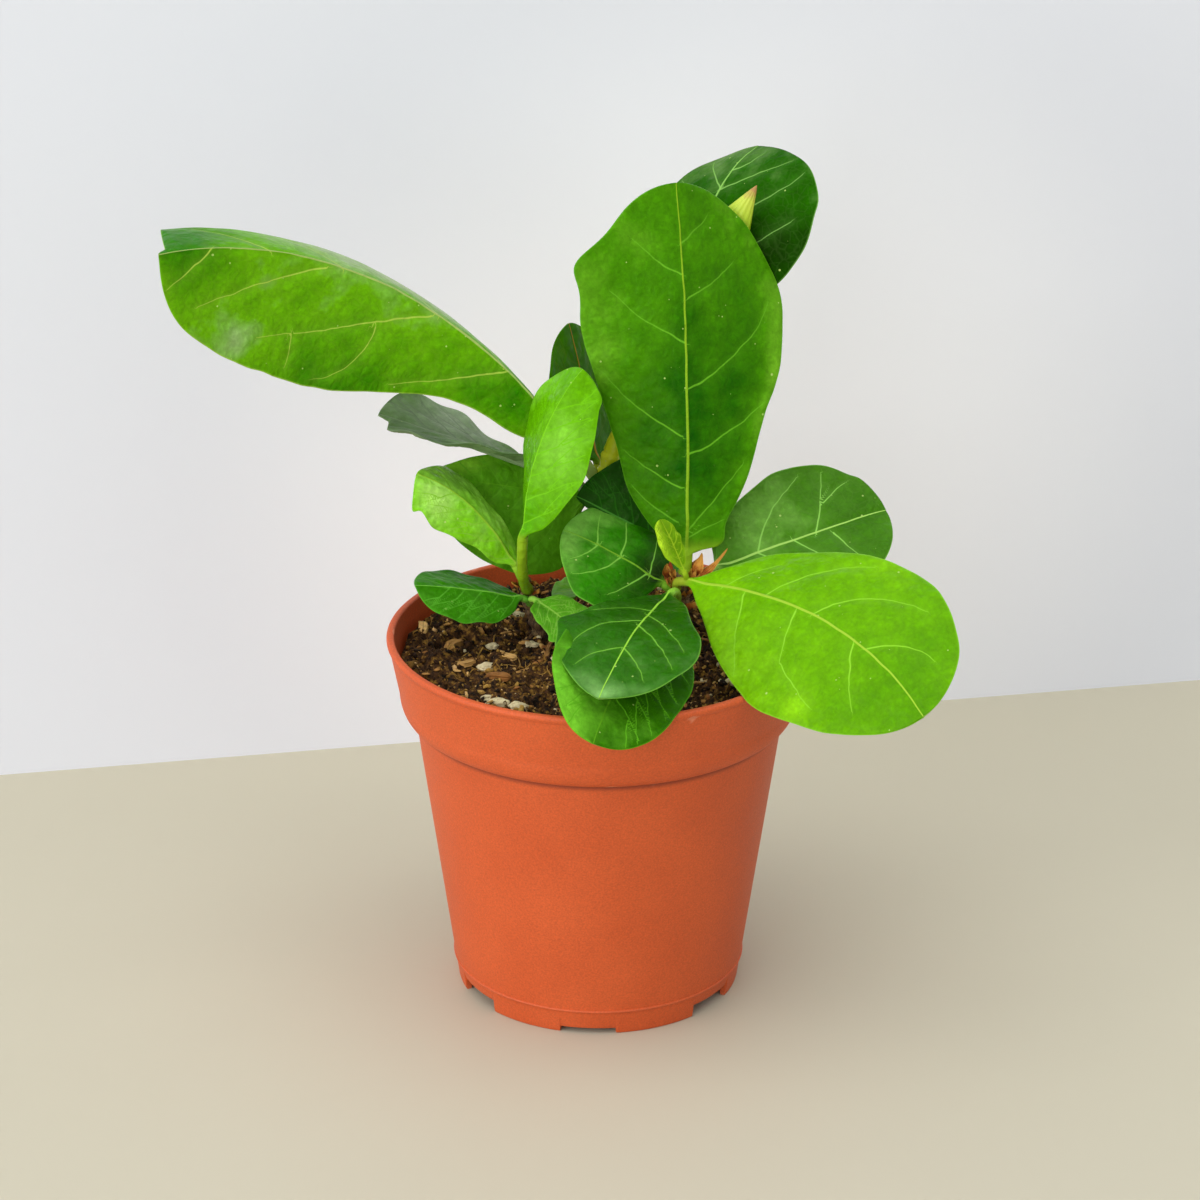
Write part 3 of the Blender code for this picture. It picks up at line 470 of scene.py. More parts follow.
        petiole="96A028", under="9CC65A", puff=0.42, wave=0.4, ribWidth=0.85, shine=0.12,
        tones=((0.97, 0, 0.25, 1.2, -0.7), (0.3, 0.85, 0.25, 0.4, 0.6), (0.1, 0, 0.12, 1, 0.35),
            (0.65, 0.86, 0.05, 0.18, 0.9), (0.52, -0.9, 0.1, 0.2, 0.4)),
        veins=((-1, 24.6, 1.1, 66, 41, 26.3), (-1, 39.4, 0.4, 65, 56, 28), (-1, 58.1, 0.7, 54, 43, 17.1),
            (-1, 12, 0, 60, 21, 14), (1, 18.8, 1.3, 74, 25, 24), (1, 34.8, 0.9, 82, 30, 15.1),
            (1, 40.8, 14.5, 24, 18, 16.8), (1, 54.3, 0.7, 58, 33, 18.4))),
    "leaf_young_folded": dict(
        length=14.2, width=8.4, at=(20.7, -4.5, 111), heading=-39.5, rise=52.5, droop=3.9, sweep=-2.5,
        roll=-16.8, twist=-1.5, fold=24.2, cup=-3.9, widest=0.6, base=0.94, tip=0.49, share=-0.06,
        right=(-0.3, -1, -1.5, -1.4, -0.9), left=(0.2, 0.4, 0, -0.3, 0.1), joins=107, stalk=0.7,
        slot="leaf_bright", green="6E9C04", deepAndShade="4E7A00", paleAndSheen="BCE42A", vein="80A414", rib="8CAA1C",
        under="9CB84C", rough=0.35, puff=0.1, wave=0.2, ribWidth=0.35, shine=0.12,
        tones=((0.7, -0.9, 0.4, 0.4, 1), (0.6, 0.4, 0.5, 0.6, -0.8)),
        veins=4),
    "leaf_small_front": dict(
        length=16.1, width=13.5, at=(-15.6, 5.3, 99.1), heading=134.8, rise=-7.1, droop=23.5, sweep=3.2,
        roll=12, twist=11.2, fold=9.8, cup=-1.9, widest=0.64, base=0.61, tip=0.48,
        right=(0.8, 0, -0.6, -0.7, 2.4), left=(0, 0.3, -0.8, 0, 0), stem="stem_left", joins=95.5, stalk=0.8,
        slot="leaf_mid", green="58A818", deepAndShade="3C8800", paleAndSheen="79B83A", vein="80BE40", rib="96D04C",
        under="8DBB4C", puff=0.2, ribWidth=0.6, veins=4),
    "leaf_small_middle": dict(
        length=8, width=12, at=(-4, 12, 99), heading=-89, rise=0, droop=15.5, sweep=1, roll=-8, twist=1,
        fold=3, cup=2, widest=0.61, base=0.97, tip=0.49, share=0.01, right=(0, -0.1, 0.4, -0.4, 0.1),
        stem="stem_main", joins=97, stalk=0.7, green="5CA41A", deepAndShade="3C8200", paleAndSheen="5C9A2C", vein="6A9C24",
        rib="80AC30", rough=0.4, puff=0.15, wave=0.2, ribWidth=0.4, veins=3),
    "leaf_dark_middle": dict(
        length=22.6, width=16, at=(14, 11.5, 112.9), heading=-86.5, rise=33, droop=11.5, sweep=5.9,
        roll=-76, twist=0, fold=1, cup=0, widest=0.63, base=1.0, tip=0.53, share=0.75,
        right=(0, 0, 0, 0.5, -1.2), joins=105.5, stalk=1.0, green="0E4400", deepAndShade="083400", paleAndSheen="2C6A14",
        vein="22600E", rib="3F8028", rough=0.4, puff=0.2, ribWidth=0.7, shine=0.15, veins=4),
}
# what a leaf has unless it says otherwise
leafDefaults = dict(
    bend=1.3, share=0, grow=0.09, lobes=(), right=(0, 0, 0, 0, 0), left=(0, 0, 0, 0, 0), cut=(0, 0, 0),
    stem="stem_right", slot="leaf_dark", under="6D9444", rough=0.36, wave=0.3, ribWidth=0.8, shine=0.25,
    tones=())
bladeGrid = 0.55        # mean size of a blade's squares
uvPerMm = 0.01          # of a leaf's UV map
halfThickness = 0.22    # of the blade between its veins
marginPlaces = (0.1, 0.3, 0.5, 0.7, 0.88)       # of a margin's five gains, each a bell
marginSpread = 0.11
veinPoints = 22         # along each side vein


def leafFrames(leaf, place):
    # along, right and up at places 0 to 1 along the midrib: heading, rise and roll change on the way
    heading = np.radians(leaf["heading"] + leaf["sweep"] * place)
    rise = np.radians(leaf["rise"] - leaf["droop"] * place ** leaf["bend"])
    roll = np.radians(leaf["roll"] + leaf["twist"] * place)[:, None]
    level = np.stack([np.sin(heading), np.cos(heading), 0 * place], axis=-1)
    skyward = np.array([0, 0, 1])
    along = level * np.cos(rise)[:, None] + skyward * np.sin(rise)[:, None]
    up = skyward * np.cos(rise)[:, None] - level * np.sin(rise)[:, None]
    right = np.stack([np.cos(heading), -np.sin(heading), 0 * place], axis=-1)
    return along, right * np.cos(roll) - up * np.sin(roll), up * np.cos(roll) + right * np.sin(roll)


def halfWidth(leaf, place, side):
    # a quarter sine from the base to the widest place, a quarter cosine to the tip, each to a power,
    # and a bell for each lobe and each margin place
    widest = leaf["widest"]
    rising = np.sin(np.pi / 2 * np.clip(place / widest, 0, 1)) ** leaf["base"]
    falling = np.cos(np.pi / 2 * np.clip((place - widest) / (1 - widest), 0, 1)) ** leaf["tip"]
    width = leaf["width"] / 2 * np.where(place <= widest, rising, falling) * (1 + leaf["share"] * side)
    gains = leaf["right"] if side > 0 else leaf["left"]
    bells = [(middle, marginSpread, gain) for middle, gain in zip(marginPlaces, gains)]
    bells += [lobe[1:] for lobe in leaf["lobes"] if lobe[0] == side]
    within = smoothStep(0, 0.02, place) * (place < 1)
    for middle, spread, gain in bells:
        width = width + gain * np.exp(-(((place - middle) / spread) ** 2)) * within
    cutSide, cutPlace, cutWidth = leaf["cut"]
    if cutSide == side:
        beyond = np.clip((1 - place) / (1 - cutPlace), 0, 1) ** 0.5
        width = np.minimum(width, cutWidth * beyond + 14 * np.clip((cutPlace - place) / 0.03, 0, 1))
    ripple = noise(np.stack([place * leaf["length"], place * 0 + side * 9], axis=-1), 5, 21)
    return np.maximum(width + 0.22 * ripple * smoothStep(0.05, 0.2, place) * (place < 1), 0)


def veinLines(leaf):
    # each side vein as points (along, out) in the flat blade, with its thickness: an arc that turns
    # towards the tip and stops short of the margin
    length = leaf["length"]
    veins = leaf["veins"]
    if isinstance(veins, int):
        pairs = veins
        veins = []
        for k in range(pairs):
            for side in (-1, 1):
                start = (0.07 + 0.76 * (k + 0.22 * (side > 0)) / pairs) * length
                angle = 64 - 20 * k / pairs
                veins.append((side, start, 0, angle, 22 + 6 * math.sin(3 * k + side), leaf["width"]))
                reach = leaf["width"] * 0.24
                forkX = start + reach * math.cos(math.radians(angle - 5))
                forkY = reach * math.sin(math.radians(angle - 5))
                veins.append((side, forkX, forkY, angle - 36, -14, leaf["width"] * 0.5))
    lines = []
    for side, start, out, angle, turn, reach in veins:
        u = np.linspace(0, 1, veinPoints)
        heading = np.radians(angle - turn * u)
        step = np.diff(u) * reach
        x = start + np.concatenate([[0], np.cumsum((np.cos(heading[1:]) + np.cos(heading[:-1])) / 2 * step)])
        y = out + np.concatenate([[0], np.cumsum((np.sin(heading[1:]) + np.sin(heading[:-1])) / 2 * step)])
        room = halfWidth(leaf, np.clip(x / length, 0, 1), side) * 0.94
        kept = np.cumprod(((y < room) & (x < length * 0.985)) | (np.arange(veinPoints) < 3)).astype(bool)
        thick = np.linspace(0.15 if out > 5 else 0.21, 0.1, veinPoints) * min(1, 0.6 + leaf["width"] / 100)
        lines.append((x[kept], (y * side)[kept], thick[kept]))
    return lines


def veinField(leaf, x, y):
    # distance to the nearest side vein, the same over its half thickness with a sign for its side,
    # and how strong it is there
    near = np.full(x.shape, 99.0)
    across = np.full(x.shape, 99.0)
    strength = np.zeros(x.shape)
    flat = np.stack([x, y], axis=-1)
    x = x + 0.35 * noise(flat, 5, 25) + 0.16 * noise(flat, 1.8, 26)
    y = y + 0.35 * noise(flat, 5, 27) + 0.16 * noise(flat, 1.8, 28)
    for lineX, lineY, thick in veinLines(leaf):
        for k in range(len(lineX) - 1):
            dx, dy = lineX[k + 1] - lineX[k], lineY[k + 1] - lineY[k]
            share = np.clip(((x - lineX[k]) * dx + (y - lineY[k]) * dy) / (dx * dx + dy * dy), 0, 1)
            offX, offY = x - lineX[k] - share * dx, y - lineY[k] - share * dy
            distance = np.hypot(offX, offY)
            closer = distance < near
            half = thick[k] + (thick[k + 1] - thick[k]) * share
            side = np.where(dx * offY - dy * offX < 0, -1, 1)
            near = np.where(closer, distance, near)
            across = np.where(closer, distance * side / half, across)
            strength = np.where(closer, 1 - 0.3 * (k + share) / (veinPoints - 1), strength)
    return near, across, strength


def sheenAndShadeSpots(leaf, place, spread):
    # painted sheen and shade: how much paler (to 1) or deeper (to -1) the blade is painted, a bell for each
    # spot
    tone = np.zeros((len(place), len(spread)))
    for middle, across, longWidth, wideWidth, amount in leaf["tones"]:
        off = ((place[:, None] - middle) / longWidth) ** 2 + ((spread[None] - across) / wideWidth) ** 2
        tone = tone + amount * np.exp(-off)
    return tone


def stalkRings(leaf, base, along, right, circle):
    # circles on a quadratic curve from inside the stem, where they swell, to the blade's base, where it
    # arrives along the midrib; with the share of the way at each, and the curve's rough length
    joint, stemRadius, stemAlong = stemAt(leaf["stem"], leaf["joins"])
    leaving = unit(base - joint)
    outward = unit(leaving - stemAlong * (leaving @ stemAlong))
    start = joint + outward * stemRadius * 0.35
    length = np.linalg.norm(base - start)
    bend = base - along * length / 2
    u = np.linspace(0, 1, max(8, round(length / 0.7)), endpoint=False)[:, None]
    centre = start * (1 - u) ** 2 + bend * 2 * u * (1 - u) + base * u ** 2
    heading = unit((bend - start) * (1 - u) + (base - bend) * u)
    sideways = unit(right - heading * (heading @ right)[:, None])
    over = np.cross(sideways, heading)
    swelling = 1 + 0.3 * np.exp(-(u * length / 1.6) ** 2)
    ring = circle[None] * swelling[..., None]
    rows = centre[:, None] + sideways[:, None] * ring[..., :1] + over[:, None] * ring[..., 1:]
    return rows, u[:, 0], length


def buildLeaf(name, leaf):
    # One closed skin over stalk and blade. Every row is a ring that runs over the top from the left
    # margin to the right one and back below: a circle on the stalk, which flattens into the blade.
    length, stalk = leaf["length"], leaf["stalk"]
    halfColumns = max(8, round(leaf["width"] / 2 / bladeGrid))
    rowCount = max(24, round(length / bladeGrid))
    place = 1 - (1 - np.linspace(0, 1, rowCount + 1)) ** 1.5
    spread = np.linspace(-1, 1, 2 * halfColumns + 1)
    spread = np.sign(spread) * np.abs(spread) ** 1.2
    spread = np.concatenate([spread, spread[-2:0:-1]])          # over the top, then back below
    face = np.concatenate([np.ones(2 * halfColumns + 1), -np.ones(2 * halfColumns - 1)])
    side = np.where(spread < 0, -1, 1)
    rim = np.abs(spread) == 1

    along, right, up = leafFrames(leaf, place)
    steps = np.diff(place)[:, None] * length * (along[1:] + along[:-1]) / 2
    middle = np.array(leaf["at"]) + np.concatenate([[[0, 0, 0]], np.cumsum(steps, axis=0)])
    widths = np.where(side[None] < 0, halfWidth(leaf, place, -1)[:, None], halfWidth(leaf, place, 1)[:, None])
    x = np.repeat((place * length)[:, None], len(spread), axis=1)
    y = widths * spread[None]

    # relief, upwards: the blade puffs up between its veins, swells softly and waves at its margin
    near, across, strength = veinField(leaf, x, y)
    flat = np.stack([x, y], axis=-1)
    ribHalf = leaf["ribWidth"] / 2 * (0.3 + 0.7 * (1 - place[:, None]) ** 0.8)
    offRib = y + 0.14 * noise(np.stack([x, x * 0], axis=-1), 4, 29)
    toRib = np.maximum(np.abs(y) - ribHalf, 0)
    inner = smoothStep(0.02, 0.12, place)[:, None] * smoothStep(1.0, 0.8, np.abs(spread))[None]
    puffed = 1 - np.exp(-(near / 1.5) ** 2) * np.clip(strength * 1.3, 0, 1)
    puffed = puffed * (1 - 0.9 * np.exp(-(toRib / 1.3) ** 2))
    relief = leaf["puff"] * (puffed - 1) * inner
    relief = relief + 0.06 * noise(flat, 2.6, 31) * inner + 0.3 * noise(flat, 13, 32) * inner
    waves = np.sin(2 * np.pi * x / (0.3 * length) + 2.2 * side[None]) + 0.5 * noise(flat, 9, 33)
    waves = waves * np.abs(spread)[None] ** 3 * smoothStep(0.05, 0.25, place)[:, None]
    relief = relief + leaf["wave"] * waves

    # the section of the blade
    fold, cup = math.radians(leaf["fold"]), math.radians(leaf["cup"]) or 1e-6
    out = (np.sin(fold + cup * np.abs(spread)) - math.sin(fold)) / cup * side
    lift = (math.cos(fold) - np.cos(fold + cup * np.abs(spread))) / cup
    fromMargin = widths * (1 - np.abs(spread))[None]
    depth = halfThickness * np.sqrt(np.clip(fromMargin / 0.55, 0, 1))
    ribRadius = stalk * (1 - place[:, None]) ** 0.75 * 0.95 + 0.2
    keel = np.sqrt(np.clip(ribRadius ** 2 - y ** 2, 0, None))
    ridge = 0.3 * np.exp(-(near / 0.45) ** 2) * strength * inner
    crest = 0.4 * ribHalf * np.exp(-(offRib / (ribHalf + 0.05)) ** 2)
    height = np.where(face[None] > 0, depth + crest, -np.maximum(depth + ridge, keel))
    height = np.where(rim[None], 0, height)
    blade = middle[:, None] + right[:, None] * (out[None] * widths)[..., None]
    blade = blade + up[:, None] * (lift[None] * widths + relief + height)[..., None]

    # the stalk's circle, and how the blade grows out of it
    turn = np.pi / 2 * spread
    circle = np.stack([np.sin(turn), np.cos(turn) * face], axis=-1) * stalk
    circle[rim, 1] = 0
    roundRow = middle[:, None] + right[:, None] * circle[None, :, :1] + up[:, None] * circle[None, :, 1:]
    grown = smoothStep(0, leaf["grow"], place)[:, None, None]
    rows = roundRow * (1 - grown) + blade * grown

    stalkRows, u, stalkLength = stalkRings(leaf, middle[0], along[0], right[0], circle)
    stalkX = (u - 1) * stalkLength

    # values that the leaf's material reads; its tone is painted sheen and shade
    plain = np.zeros((len(u), len(spread)))
    far = 9
    onStalk = {"vein": plain + far, "margin": plain + far,
               "stalk": plain + 1 + np.exp(-(u * stalkLength / 1.5) ** 2)[:, None]}
    atEdge = smoothStep(1.0, 0.86, np.abs(spread))[None]
    onBlade = {
        "vein": across, "veinStrength": strength * smoothStep(2.2, 0.9, near) * atEdge,
        "halo": np.exp(-near / 1.3) * strength, "rib": offRib / ribHalf, "margin": fromMargin,
        "tone": sheenAndShadeSpots(leaf, place, spread), "under": x * 0 + ((face < 0) & ~rim)[None],
        "stalk": x * 0 + smoothStep(0.05, 0.0, place)[:, None],
    }
    values = {key: withPoles(np.concatenate([onStalk.get(key, plain), here]))
              for key, here in onBlade.items()}
    flatX = withPoles(np.concatenate([plain + stalkX[:, None], x]))
    flatY = withPoles(np.concatenate([plain + turn[None] * stalk, y]))
    points, faceSets = skinRings(np.concatenate([stalkRows, rows]))
    addPiece(name, points, faceSets, leafMaterial(name, leaf), leaf["slot"], [name], values,
             np.stack([flatX, flatY], axis=-1) * uvPerMm, sharp=80)


def leafMaterial(name, leaf):
    # A living fig leaf: soft green tissue under a skin of wax. The wax gives a broad, quiet shine that
    # the green below tints, the veins show paler because they hold no green, and the tissue between
    # them is softly mottled.
    material, shader, add = newMaterial(name.replace("leaf_", "figLeafWax_"))
    uv = add("UVMap", {}, uv_map="surfaceMm")[0]
    flat = add("VectorMath", {0: uv, "Scale": 1 / uvPerMm}, operation="SCALE")[0]
    read = {key: add("Attribute", {}, attribute_name=key)["Fac"]
            for key in ("vein", "veinStrength", "halo", "rib", "margin", "under", "stalk", "tone")}

    # soft patches 9 mm across, which shift the tone of the painted sheen and shade at random; a mottling of
    # 3 mm and of 0.9 mm, both a little coarser than life to show; swells 5 mm across and a grain of 0.45 mm
    patches, coarse, fine, swell, grain = (
        add("TexNoise", {"Vector": flat, "Scale": 1 / size, "Detail": detail, "Roughness": rough})[0]
        for size, detail, rough in ((9, 3, 0.55), (3.2, 4, 0.6), (0.9, 4, 0.6), (5, 1, 0.5), (0.45, 2, 0.5)))
    shift = add("MapRange", {0: patches, 1: 0.3, 2: 0.7, 3: -0.24, 4: 0.24})[0]
    # the tone: painted sheen and shade from the leaf's spots, shifted at random by the patches
    tone = add("Math", {0: read["tone"], 1: shift}, operation="ADD")[0]

    # the net of veinlets, in cells of 2.6 mm; then the side veins and the midrib, sharp but for a soft rim
    wobble = add("TexNoise", {"Vector": flat, "Scale": 1 / 2.2, "Detail": 2})["Color"]
    bent = add("VectorMath", {0: wobble, 1: (1.3, 1.3, 0), 2: flat}, operation="MULTIPLY_ADD")[0]
    net = add("TexVoronoi", {"Vector": bent, "Scale": 1 / 2.6}, feature="DISTANCE_TO_EDGE")["Distance"]
    lines = []
    for key, low, high in (("vein", 0.6, 1.4), ("rib", 0.7, 1.3)):
        off = add("Math", {0: read[key]}, operation="ABSOLUTE")[0]
        drawn = {0: off, 1: low, 2: high, 3: 1, 4: 0}
        lines.append(add("MapRange", drawn, interpolation_type="SMOOTHSTEP")[0])
    sideVeins, midrib = lines
    sideVeins = add("Math", {0: sideVeins, 1: read["veinStrength"]}, operation="MULTIPLY")[0]

    # the tissue: painted sheen and shade laid on by the tone, then the mottling, veins, flecks and margin
    tissue = layered(
        add, leaf["green"],
        (tone, 0, 1, 0, 1, leaf["paleAndSheen"]),
        (tone, -1, 0, 1, 0, leaf["deepAndShade"]),
        (coarse, 0.3, 0.7, 0.89, 1.11, None),
        (fine, 0.3, 0.7, 0.88, 1.12, None),
        (net, 0, 0.08, 0.05, 0, leaf["vein"]),
        (net, 0, 0.35, 0.9, 1.06, None),
        (speckles(add, flat, 2.4, 0.32, 0.42), 0, 1, 0, 0.7, "B4D070"),     # pale flecks about 0.6 mm wide
        (speckles(add, flat, 11, 0.6, 0.3), 0, 1, 0, 0.6, "6E5A1C"),        # a few brown specks
        (read["halo"], 0, 1, 0, 0.12, leaf["vein"]),                        # paler tissue beside the veins
        (sideVeins, 0, 1, 0, 1, leaf["vein"]),
        (midrib, 0, 1, 0, 1, leaf["rib"]),
        (read["margin"], 0.08, 0.4, 0.6, 0, leaf["vein"]),                  # a thin pale margin
        (read["under"], 0, 1, 0, 0.8, leaf["under"]),
        (read["stalk"], 0, 1, 0, 0.85, leaf.get("petiole", leaf["rib"])),
        (read["stalk"], 1.1, 1.8, 0, 0.7, "5A4420"))                        # brown where it joins the stem

    # wax: rougher below; the bump is a pillow in each cell of the net, with the swells and the grain
    rough = add("MapRange", {0: patches, 1: 0.3, 2: 0.7, 3: leaf["rough"] + 0.05, 4: leaf["rough"] - 0.05})[0]
    rough = add("Math", {0: read["under"], 1: 0.2, 2: rough}, operation="MULTIPLY_ADD")[0]
    height = add("MapRange", {0: net, 1: 0, 2: 0.45, 3: 0, 4: 0.32}, interpolation_type="SMOOTHSTEP")[0]
    for bumps, amount in ((grain, 0.1), (swell, 2.2)):
        height = add("Math", {0: bumps, 1: amount, 2: height}, operation="MULTIPLY_ADD")[0]
    bump = add("Bump", {"Height": height, "Strength": 0.7, "Distance": 0.5 * mm})[0]
    setInputs(shader, {"Base Color": tissue, "Roughness": rough, "Normal": bump,
                       "Specular IOR Level": leaf["shine"], "Specular Tint": "DCFFAA"})
    return material


# a bud's base, tip, width and the place where it is thickest; a scale's base, tip, width and how far its
# middle bows outwards
buds = {
    "bud_top": ((30, 37.6, 181.4), (38.35, 38.4, 196.1), 9.3, 0.2),
    "bud_left": ((-18.8, 9.9, 103.2), (-18.9, 9.4, 107), 1.8, 0.4),
    "bud_side": ((5.6, 20.6, 129.2), (6.9, 20.2, 132.8), 1.5, 0.4),
}
scales = {
    "scale_long": ((23.6, 1.6, 106.6), (31.4, 4, 113.7), 4.4, (0.3, 0, -0.5)),
    "scale_back": ((22.7, 4.4, 106.2), (25.2, 5.2, 112), 9.6, (0.4, 0, 0.3)),
    "scale_front": ((21.4, -2.4, 100.6), (24.4, -5, 102), 2.6, (0.4, 0, 0.5)),
    "scale_left": ((17.2, 0.9, 107.4), (16.6, -0.4, 111.4), 2.4, (-0.7, 0, 0)),
    "scale_right": ((23.3, 0.6, 105.6), (27.2, -0.6, 108.6), 1.8, (0.3, 0, 0.4)),
}


def sheathMaterial(name, ribs, patchSize, detail, patchShare, stops):
    # what buds and dry scales share: ribs along them, as a wave round them, and a colour that changes
    # towards the point, shifted by patches; with its shader and the node maker
    material, shader, add = newMaterial(name)
    share, turn = (add("Attribute", {}, attribute_name=key)["Fac"] for key in ("share", "turn"))
    wave = add("Math", {0: turn, 1: ribs}, operation="MULTIPLY")[0]
    wave = add("Math", {0: wave}, operation="SINE")[0]
    patches = add("TexNoise", {"Vector": placeInMm(add), "Scale": 1 / patchSize, "Detail": detail})[0]
    aged = add("Math", {0: patches, 1: patchShare, 2: share}, operation="MULTIPLY_ADD")[0]
    return material, shader, add, wave, add("ValToRGB", {0: aged}, stops=stops)[0]


def budSkin():
    # A growing tip: a rolled sheath of thin pale skin, yellow-green below, turning straw brown where its
    # point dries, faintly ribbed along its length.
    stops = ((0.16, "C8B428"), (0.42, "AAD214"), (0.88, "C2D244"), (1, "B4884C"))
    material, shader, add, ribs, skin = sheathMaterial("budSheathSkin", 14, 2, 3, 0.24, stops)
    bump = add("Bump", {"Height": ribs, "Strength": 0.4, "Distance": 0.1 * mm})[0]
    setInputs(shader, {"Base Color": skin, "Roughness": 0.4, "Normal": bump, "Specular IOR Level": 0.4})
    return material


def dryScale():
    # A dead stipule: a paper-thin brown sheath with dark fibres along it, matt, paler towards its point.
    stops = ((0.3, "44200A"), (0.68, "A05210"), (1, "D29238"))
    material, shader, add, fibres, skin = sheathMaterial("driedStipule", 22, 1.2, 4, 0.8, stops)
    bump = add("Bump", {"Height": fibres, "Strength": 0.6, "Distance": 0.2 * mm})[0]
    setInputs(shader, {"Base Color": skin, "Roughness": 0.75, "Normal": bump, "Specular IOR Level": 0.3})
    return material


def sheathRings(base, tip, width, thickest):
    # a spindle: the radius swells to its thickest place and then closes evenly to the tip, flattened
    # across, with a lengthwise fold that winds round it
    rows, around, winding = 40, 36, 1.6
    base, tip = np.array(base, float), np.array(tip, float)
    share = np.linspace(0, 1, rows)
    path = base + (tip - base) * share[:, None]
    swell = 0.42 + 0.58 * smoothStep(0, thickest, share)
    radius = width / 2 * swell * np.clip((1 - share) / (1 - thickest), 0, 1) ** 0.85 + 0.25 * (1 - share ** 6)
    _, side, up = framesAlong(path)
    turn = np.linspace(0, 2 * np.pi, around, endpoint=False)
    twisted = turn[None] + winding * share[:, None]
    fold = 1 + 0.16 * np.exp(-(((twisted % (2 * np.pi)) - 1.5) / 0.35) ** 2) - 0.1 * np.cos(2 * twisted)
    across = np.cos(turn)[None] * radius[:, None] * fold * 0.45
    raised = np.sin(turn)[None] * radius[:, None] * fold
    rings = path[:, None] + side[:, None] * across[..., None] + up[:, None] * raised[..., None]
    return rings, np.repeat(share[:, None], around, axis=1), np.repeat(turn[None], rows, axis=0)


def stipuleRings(base, tip, width, bow):
    # a curled strip: a quarter of a tube that narrows to a point, with a torn edge, 0.2 mm thick
    rows, columns = 36, 10
    base, tip, bow = (np.array(v, float) for v in (base, tip, bow))
    share = np.linspace(0, 1, rows)
    path = base + (tip - base) * share[:, None] + bow * np.sin(np.pi * share)[:, None]
    _, side, up = framesAlong(path)
    half = width / 2 * (1 - share ** 1.6) * (1 + 0.25 * np.sin(9 * share + base[0]))
    spread = np.linspace(-1, 1, columns)
    spread = np.concatenate([spread, spread[::-1]])
    face = np.concatenate([np.ones(columns), -np.ones(columns)])
    angle = spread[None] * (1.1 + 0.5 * share[:, None])
    radius = (half[:, None] + 0.12) * 0.75 + face[None] * 0.1 * np.cos(spread * np.pi / 2.4)[None]
    rings = path[:, None] + side[:, None] * (np.sin(angle) * radius)[..., None]
    rings = rings + up[:, None] * ((np.cos(angle) - 0.6) * radius)[..., None]
    return rings, np.repeat(share[:, None], 2 * columns, axis=1), np.repeat(spread[None], rows, axis=0)


# torn stipules crowded round the top of a stem: how many, from which height up, and their lengths
flakes = {"stem_right": (26, 101.8, 3, 7), "stem_main": (12, 118, 2.5, 5), "stem_left": (8, 99, 1.8, 3.2)}


def buildFlakes(material):
    # small stipules up the stem, each 2.4 radians further round and leaning out by a random amount
    random = np.random.default_rng(17)
    for name, (count, low, shortest, longest) in flakes.items():
        top = stems[name]["line"][-1][2]
        skins, shares, turns = [], [], []
        for k in range(count):
            middle, radius, along = stemAt(name, low + (top - low) * (k + 0.5) / count)
            turn = 2.4 * k + random.uniform(-0.4, 0.4)
            outward = np.array([math.cos(turn), math.sin(turn), 0])
            length = random.uniform(shortest, longest)
            lean = random.uniform(0.25, 1.1)
            base = middle + outward * radius * 0.8
            tip = middle + outward * (radius + length * lean * 0.6) + along * length * (1 - 0.4 * lean)
            rings, share, spread = stipuleRings(base, tip, random.uniform(1.6, 3), outward * 0.5)
            skins.append(skinRings(rings))
            shares.append(withPoles(share))
            turns.append(withPoles(spread))
        addPiece(name + "_flakes", *merged(skins), material, "dry_scale", [],
                 {"share": np.concatenate(shares), "turn": np.concatenate(turns)})


def buildBudsAndScales():
    # buds are rolled sheaths and scales are curled strips, each a closed skin over its rings
    budMaterial, scaleMaterial = budSkin(), dryScale()
    buildFlakes(scaleMaterial)
    for shapes, shapeRings, material, slot in ((buds, sheathRings, budMaterial, "green_stem"),
                                               (scales, stipuleRings, scaleMaterial, "dry_scale")):
        for name, shape in shapes.items():
            rings, share, turn = shapeRings(*shape)
            points, faceSets = skinRings(rings)
            addPiece(name, points, faceSets, material, slot, [name],
                     {"share": withPoles(share), "turn": withPoles(turn)})


pot = dict(
    height=93.0, rimRadius=52.5, collarTop=(51.9, 91.0), collarShoulder=(49.5, 78.8), collarFoot=(46.7, 72.7),
    bodyTop=(45.7, 72.5), footRadius=35.5, wall=1.1, baseHeight=3.4, baseThickness=1.4,
    lineHeight=6.6, lineProud=0.35, lineHalf=0.35, drainHoles=8, drainRadius=3.6, drainCircle=26.0,
    notches=((180, 3.0), (302, 3.0), (53, 3.0), (356, 1.4), (116, 1.4), (240, 1.4)),
    notchWidth=14.0, notchTop=5.2,      # the foot's rows above this height stay where they are
    turnStep=1.2, sharpAngle=50,
)


def bodyRadius(height):
    # the outside of the body below the collar, a straight cone
    top, topHeight = pot["bodyTop"]
    return pot["footRadius"] + (top - pot["footRadius"]) * height / topHeight


def arc(centre, radii, start, end, steps):
    # points on an ellipse's arc about a centre, from one angle to another
    angle = np.radians(np.linspace(start, end, steps))
    return np.stack([centre[0] + radii[0] * np.cos(angle), centre[1] + radii[1] * np.sin(angle)], axis=-1)


